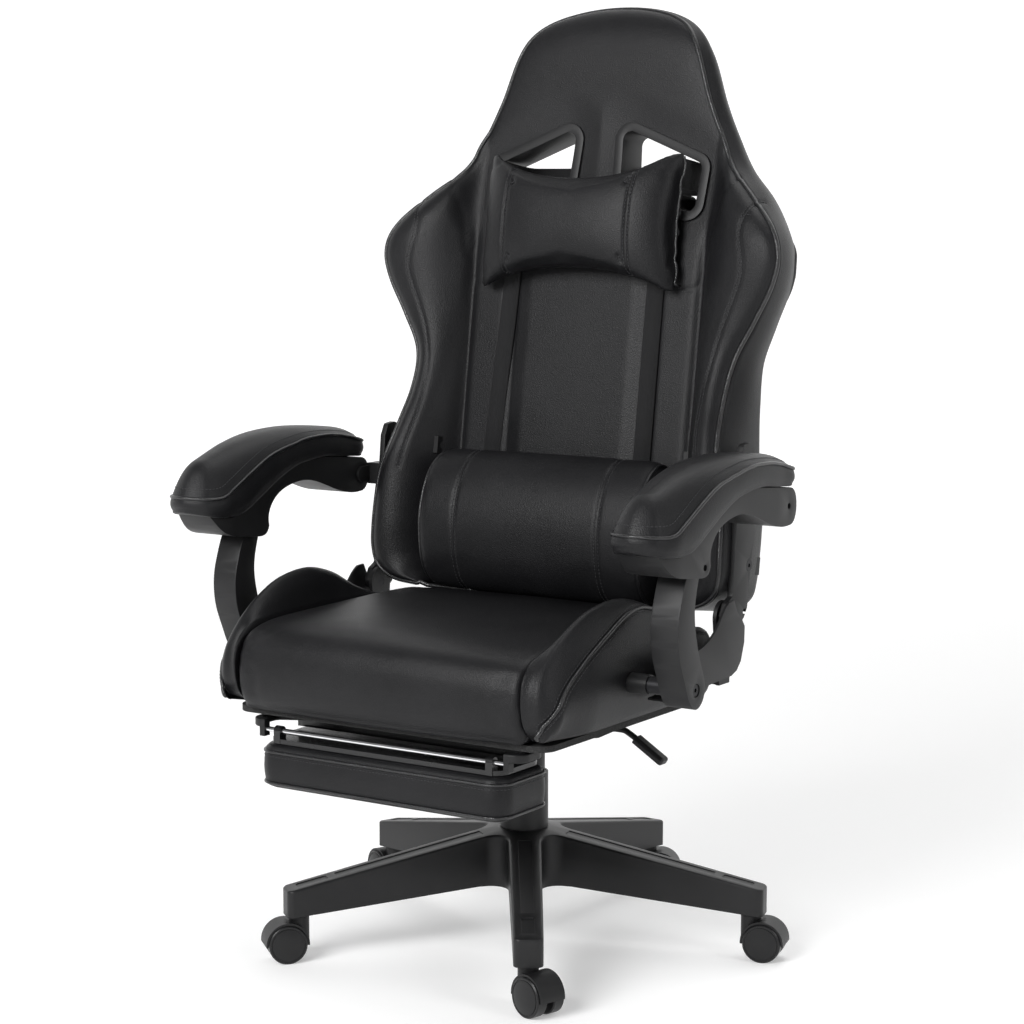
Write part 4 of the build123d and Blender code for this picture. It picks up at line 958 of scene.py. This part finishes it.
def stack(name, outline, low, seam_at, top, centre):
    """A pad with a plan outline: an underside, a side band up to seam_at and a domed top."""
    normal = outward(outline)
    rings = []

    def add(points, height):
        rings.append(np.column_stack([points, height]))

    for inset, rise in ((0.018, 0.0), (0.004, 0.0), (0.0012, 0.0012), (0.0, 0.004)):
        at = outline - normal * inset
        add(at, low(at[:, 1]) + rise)
    for share in np.linspace(0.15, 1, 9):
        at = outline + normal * 0.0022 * math.sin(math.pi * share)
        bottom = low(at[:, 1]) + 0.004
        add(at, bottom + (seam_at(at[:, 1]) - bottom) * share)
    # The last ring stops just short of the pad's spine, so that it stays a ring
    for share in np.linspace(0, 1, 18)[1:] ** 1.25:
        at = outline + (centre(outline) - outline) * share * 0.995
        rise = 1 - (1 - share) ** 2.6
        start = seam_at(outline[:, 1])
        add(at, start + (np.maximum(top(at[:, 1]), start + 0.003) - start) * rise)
    return skin(name, rings, LEATHER)


def arm_pad(side, word):
    """An armrest's pad, with piping between its top and its side, and a row of stitches above it."""
    outline = smooth_curve(PAD_PLAN * (side, 1), 260, closed=True)
    body = f"armrest_{word}"

    def spine(at):
        along = np.clip(at[:, 1], PAD_SPINE_FRONT, PAD_SPINE_REAR)
        return np.column_stack([np.full(len(at), side * PAD_MIDDLE), along])

    made = stack(f"arm_pad_cover_{word}", outline, PAD_LOW, PAD_SEAM, PAD_CROWN, spine)
    edge = np.column_stack([outline, PAD_SEAM(outline[:, 1])])
    welt(made, f"arm_pad_piping_{word}", edge, 0.0023, body, 0.0006, closed=True)
    band = np.column_stack([outline, PAD_LOW(outline[:, 1]) + 0.005])
    places, _ = snap_to(tree_of(made), band)
    groove(made, np.vstack([places, places[:1]]), 0.0016, 0.0012)
    inner = outline - outward(outline) * 0.0075
    row = np.column_stack([inner, PAD_SEAM(inner[:, 1]) + 0.012])
    stitch_row(made, f"arm_pad_stitches_{word}", row, body)
    settle(made, body, (f"arm_pad_{word}",))


def slider_strip():
    """The black strip that closes the footrest's sliding frame behind its rod."""
    path = [(x, -0.262, 0.3345) for x in np.linspace(-0.186, 0.186, 40)]
    made = ribbon("slider_strip", path, (0, 0, 1), 0.024, 0.0016, MATERIALS["tray_plastic"])
    settle(made, "footrest_slider")


FOOTREST_CORNER = 0.026
# How far each ring of the footrest's cushion stands in from its plan, and its share of the height
FOOTREST_RINGS = ((0.022, 0.0), (0.010, 0.015), (0.003, 0.07), (0.0, 0.16), (-0.0015, 0.35), (-0.002, 0.5),
                  (-0.0015, 0.66), (0.0, 0.82), (0.0015, 0.92), (0.006, 0.985), (0.014, 1.0), (0.024, 1.0))


def footrest_pad():
    """The footrest's cushion, upside down under the seat."""
    low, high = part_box("footrest_pad")
    middle, half = (low + high) / 2, (high - low) / 2
    corners = []
    for start, (sx, sy) in enumerate(((1, 1), (-1, 1), (-1, -1), (1, -1))):
        x, y = middle[0] + sx * (half[0] - FOOTREST_CORNER), middle[1] + sy * (half[1] - FOOTREST_CORNER)
        for turn in (start + np.linspace(0, 1, 24)) * math.pi / 2:
            corners.append((x + FOOTREST_CORNER * math.cos(turn), y + FOOTREST_CORNER * math.sin(turn)))
    loop = spaced(np.array(corners + corners[:1]), 360, closed=True)
    normal = outward(loop)

    def ring(inset, share):
        height = low[2] + (high[2] - low[2]) * share
        return np.column_stack([loop - normal * inset, np.full(len(loop), height)])

    made = skin("footrest_cushion", [ring(inset, share) for inset, share in FOOTREST_RINGS], LEATHER)
    for label, share in (("upper", 0.84), ("lower", 0.14)):
        welt(made, f"footrest_piping_{label}", ring(0, share), 0.0021, "footrest_flap", 0.0006, closed=True)
    stitch_row(made, "footrest_stitches", ring(0, 0.74), "footrest_flap")
    settle(made, "footrest_flap", ("footrest_pad",))


# ---- Moulded and pressed parts, with their edges rounded ------------------------------------
# Angles in degrees: nearly flat joins to merge, edges to round, and edges to shade as sharp
FLAT, TO_ROUND, TO_SHADE = 0.8, 38, 33


def rounded_copy(cad_name, width, reshape=None):
    """The shape of a hard CAD node with its sharp edges rounded, so that they catch the light."""
    cad = frame["nodes"][cad_name]
    work = bmesh.new()
    work.from_mesh(cad.data)
    work.transform(cad.matrix_world)
    bmesh.ops.remove_doubles(work, verts=work.verts, dist=1e-6)
    bmesh.ops.dissolve_limit(work, angle_limit=math.radians(FLAT), verts=work.verts, edges=work.edges)
    if reshape:
        for vertex in work.verts:
            vertex.co = reshape(vertex.co)
    sharp = [e for e in work.edges
             if len(e.link_faces) == 2 and e.calc_face_angle(0) > math.radians(TO_ROUND)]
    bmesh.ops.bevel(work, geom=sharp, offset=width, offset_type="OFFSET", segments=2, profile=0.6,
                    affect="EDGES", clamp_overlap=True)
    bmesh.ops.triangulate(work, faces=[f for f in work.faces if len(f.verts) > 4])
    mesh = bpy.data.meshes.new(cad_name + "_rounded")
    work.to_mesh(mesh)
    work.free()
    mesh.shade_smooth()
    mesh.set_sharp_from_angle(angle=math.radians(TO_SHADE))
    made = bpy.data.objects.new(cad_name + "_rounded", mesh)
    bpy.context.scene.collection.objects.link(made)
    mesh.materials.append(MATERIALS[SLOTS[cad_name]])
    settle(made, BODY_OF[cad_name], (cad_name,))


NOSE_START, NOSE_LENGTH, SHELL_MIDDLE = -0.235, 0.09, 0.344


def shell_nose(at):
    """Draws the front of an armrest shell in, under the round nose of its pad."""
    near = max(0.0, NOSE_START - at.y)
    share = min(1.0, near / NOSE_LENGTH)
    middle = math.copysign(SHELL_MIDDLE, at.x)
    return Vector((middle + (at.x - middle) * (1 - 0.30 * share * share), at.y + 0.36 * near, at.z))


# ---- Everything in place ----------------------------------------------------------------
for name, cad in frame["nodes"].items():
    for place in cad.material_slots:
        place.material = MATERIALS[SLOTS[name]]
    if not cad.material_slots:
        cad.data.materials.append(MATERIALS[SLOTS[name]])

back = backrest()
back_details(back)
straps(back)
head_pillow_details(head_pillow())
lumbar_details(lumbar_pillow())
seat_details(seat_cushion())
for side, word in SIDES:
    bolster(side, word)
    arm_pad(side, word)
    rounded_copy(f"arm_shell_{word}", 0.0022, shell_nose)
    rounded_copy(f"arm_leg_{word}", 0.0020)
    rounded_copy(f"side_bracket_{word}", 0.0010)
for cad_name, width in (("hinge_covers", 0.0012), ("star_base", 0.0014), ("slot_bezels", 0.0016)):
    rounded_copy(cad_name, width)
footrest_pad()
slider_strip()


# ---- Room, light and camera ---------------------------------------------------------------
def paper_painted_glow():
    """White paper that glows with painted light, dimmer near the object and brighter away from it, standing
    in for a lit backdrop.
    """
    made, tree, shader = material("paper_painted_glow", (0.80, 0.80, 0.80), 0.9, specular=0.1)
    # Painted light: the paper glows, weakest near the object and strongest far from it
    shader.inputs["Emission Color"].default_value = (1, 1, 1, 1)
    reach = node(tree, "ShaderNodeVectorMath", operation="LENGTH")
    tree.links.new(object_position(tree), reach.inputs[0])
    limits = {"From Min": 0.6, "From Max": 7.0, "To Min": 0.27, "To Max": 0.70}
    spread = node(tree, "ShaderNodeMapRange", interpolation_type="SMOOTHSTEP", **limits)
    tree.links.new(reach.outputs["Value"], spread.inputs["Value"])
    tree.links.new(spread.outputs["Result"], shader.inputs["Emission Strength"])
    return made


FLOOR_FRONT, FLOOR_END, BEND, WALL_TOP, ROOM_HALF, ROOM_TURN = -30.0, 6.0, 3.0, 14.0, 40.0, 123.4


def room():
    """A white floor that curves up into the backdrop, square to the camera."""
    profile = [(FLOOR_FRONT, 0.0), (FLOOR_END, 0.0)]
    profile += [(FLOOR_END + BEND * math.sin(t), BEND - BEND * math.cos(t))
                for t in np.linspace(0, math.pi / 2, 24)[1:]]
    profile += [(FLOOR_END + BEND, WALL_TOP)]
    points = [(x, y, z) for y in (-ROOM_HALF, ROOM_HALF) for x, z in profile]
    count = len(profile)
    faces = [(i, i + 1, count + i + 1, count + i) for i in range(count - 1)]
    made = piece("studio_floor", points, faces, paper_painted_glow())
    made.rotation_euler = (0, 0, math.radians(ROOM_TURN))


def light(name, at, aim, size, power):
    """A rectangular lamp of so many watts, aimed at a point."""
    lamp = bpy.data.lights.new(name, "AREA")
    lamp.shape, lamp.size, lamp.size_y, lamp.energy = "RECTANGLE", size[0], size[1], power
    made = bpy.data.objects.new(name, lamp)
    made.location = at
    made.rotation_euler = (Vector(aim) - Vector(at)).to_track_quat("-Z", "Y").to_euler()
    bpy.context.scene.collection.objects.link(made)


room()
light("key", (-0.3, -3.4, 2.3), (0, 0, 0.8), (2.2, 1.6), 150)
light("fill", (3.6, -0.4, 2.2), (0, 0, 0.7), (1.2, 2.0), 34)
light("top", (0.3, 0.9, 3.8), (0, 0, 0.6), (2.4, 2.4), 45)
world = bpy.data.worlds.new("studio")
bpy.context.scene.world = world
world.use_nodes = True
world.node_tree.nodes["Background"].inputs["Color"].default_value = (1, 1, 1, 1)
world.node_tree.nodes["Background"].inputs["Strength"].default_value = 0.20

lens = bpy.data.cameras.new("camera")
lens.lens, lens.sensor_width, lens.shift_x = 87.5, 36, 0.0035
eye = bpy.data.objects.new("camera", lens)
eye.location = (1.826, -2.805, 1.013)
eye.rotation_euler = (math.radians(82.84), 0, math.radians(33.435))
bpy.context.scene.collection.objects.link(eye)
bpy.context.scene.camera = eye
bpy.context.scene.view_settings.view_transform = "Standard"
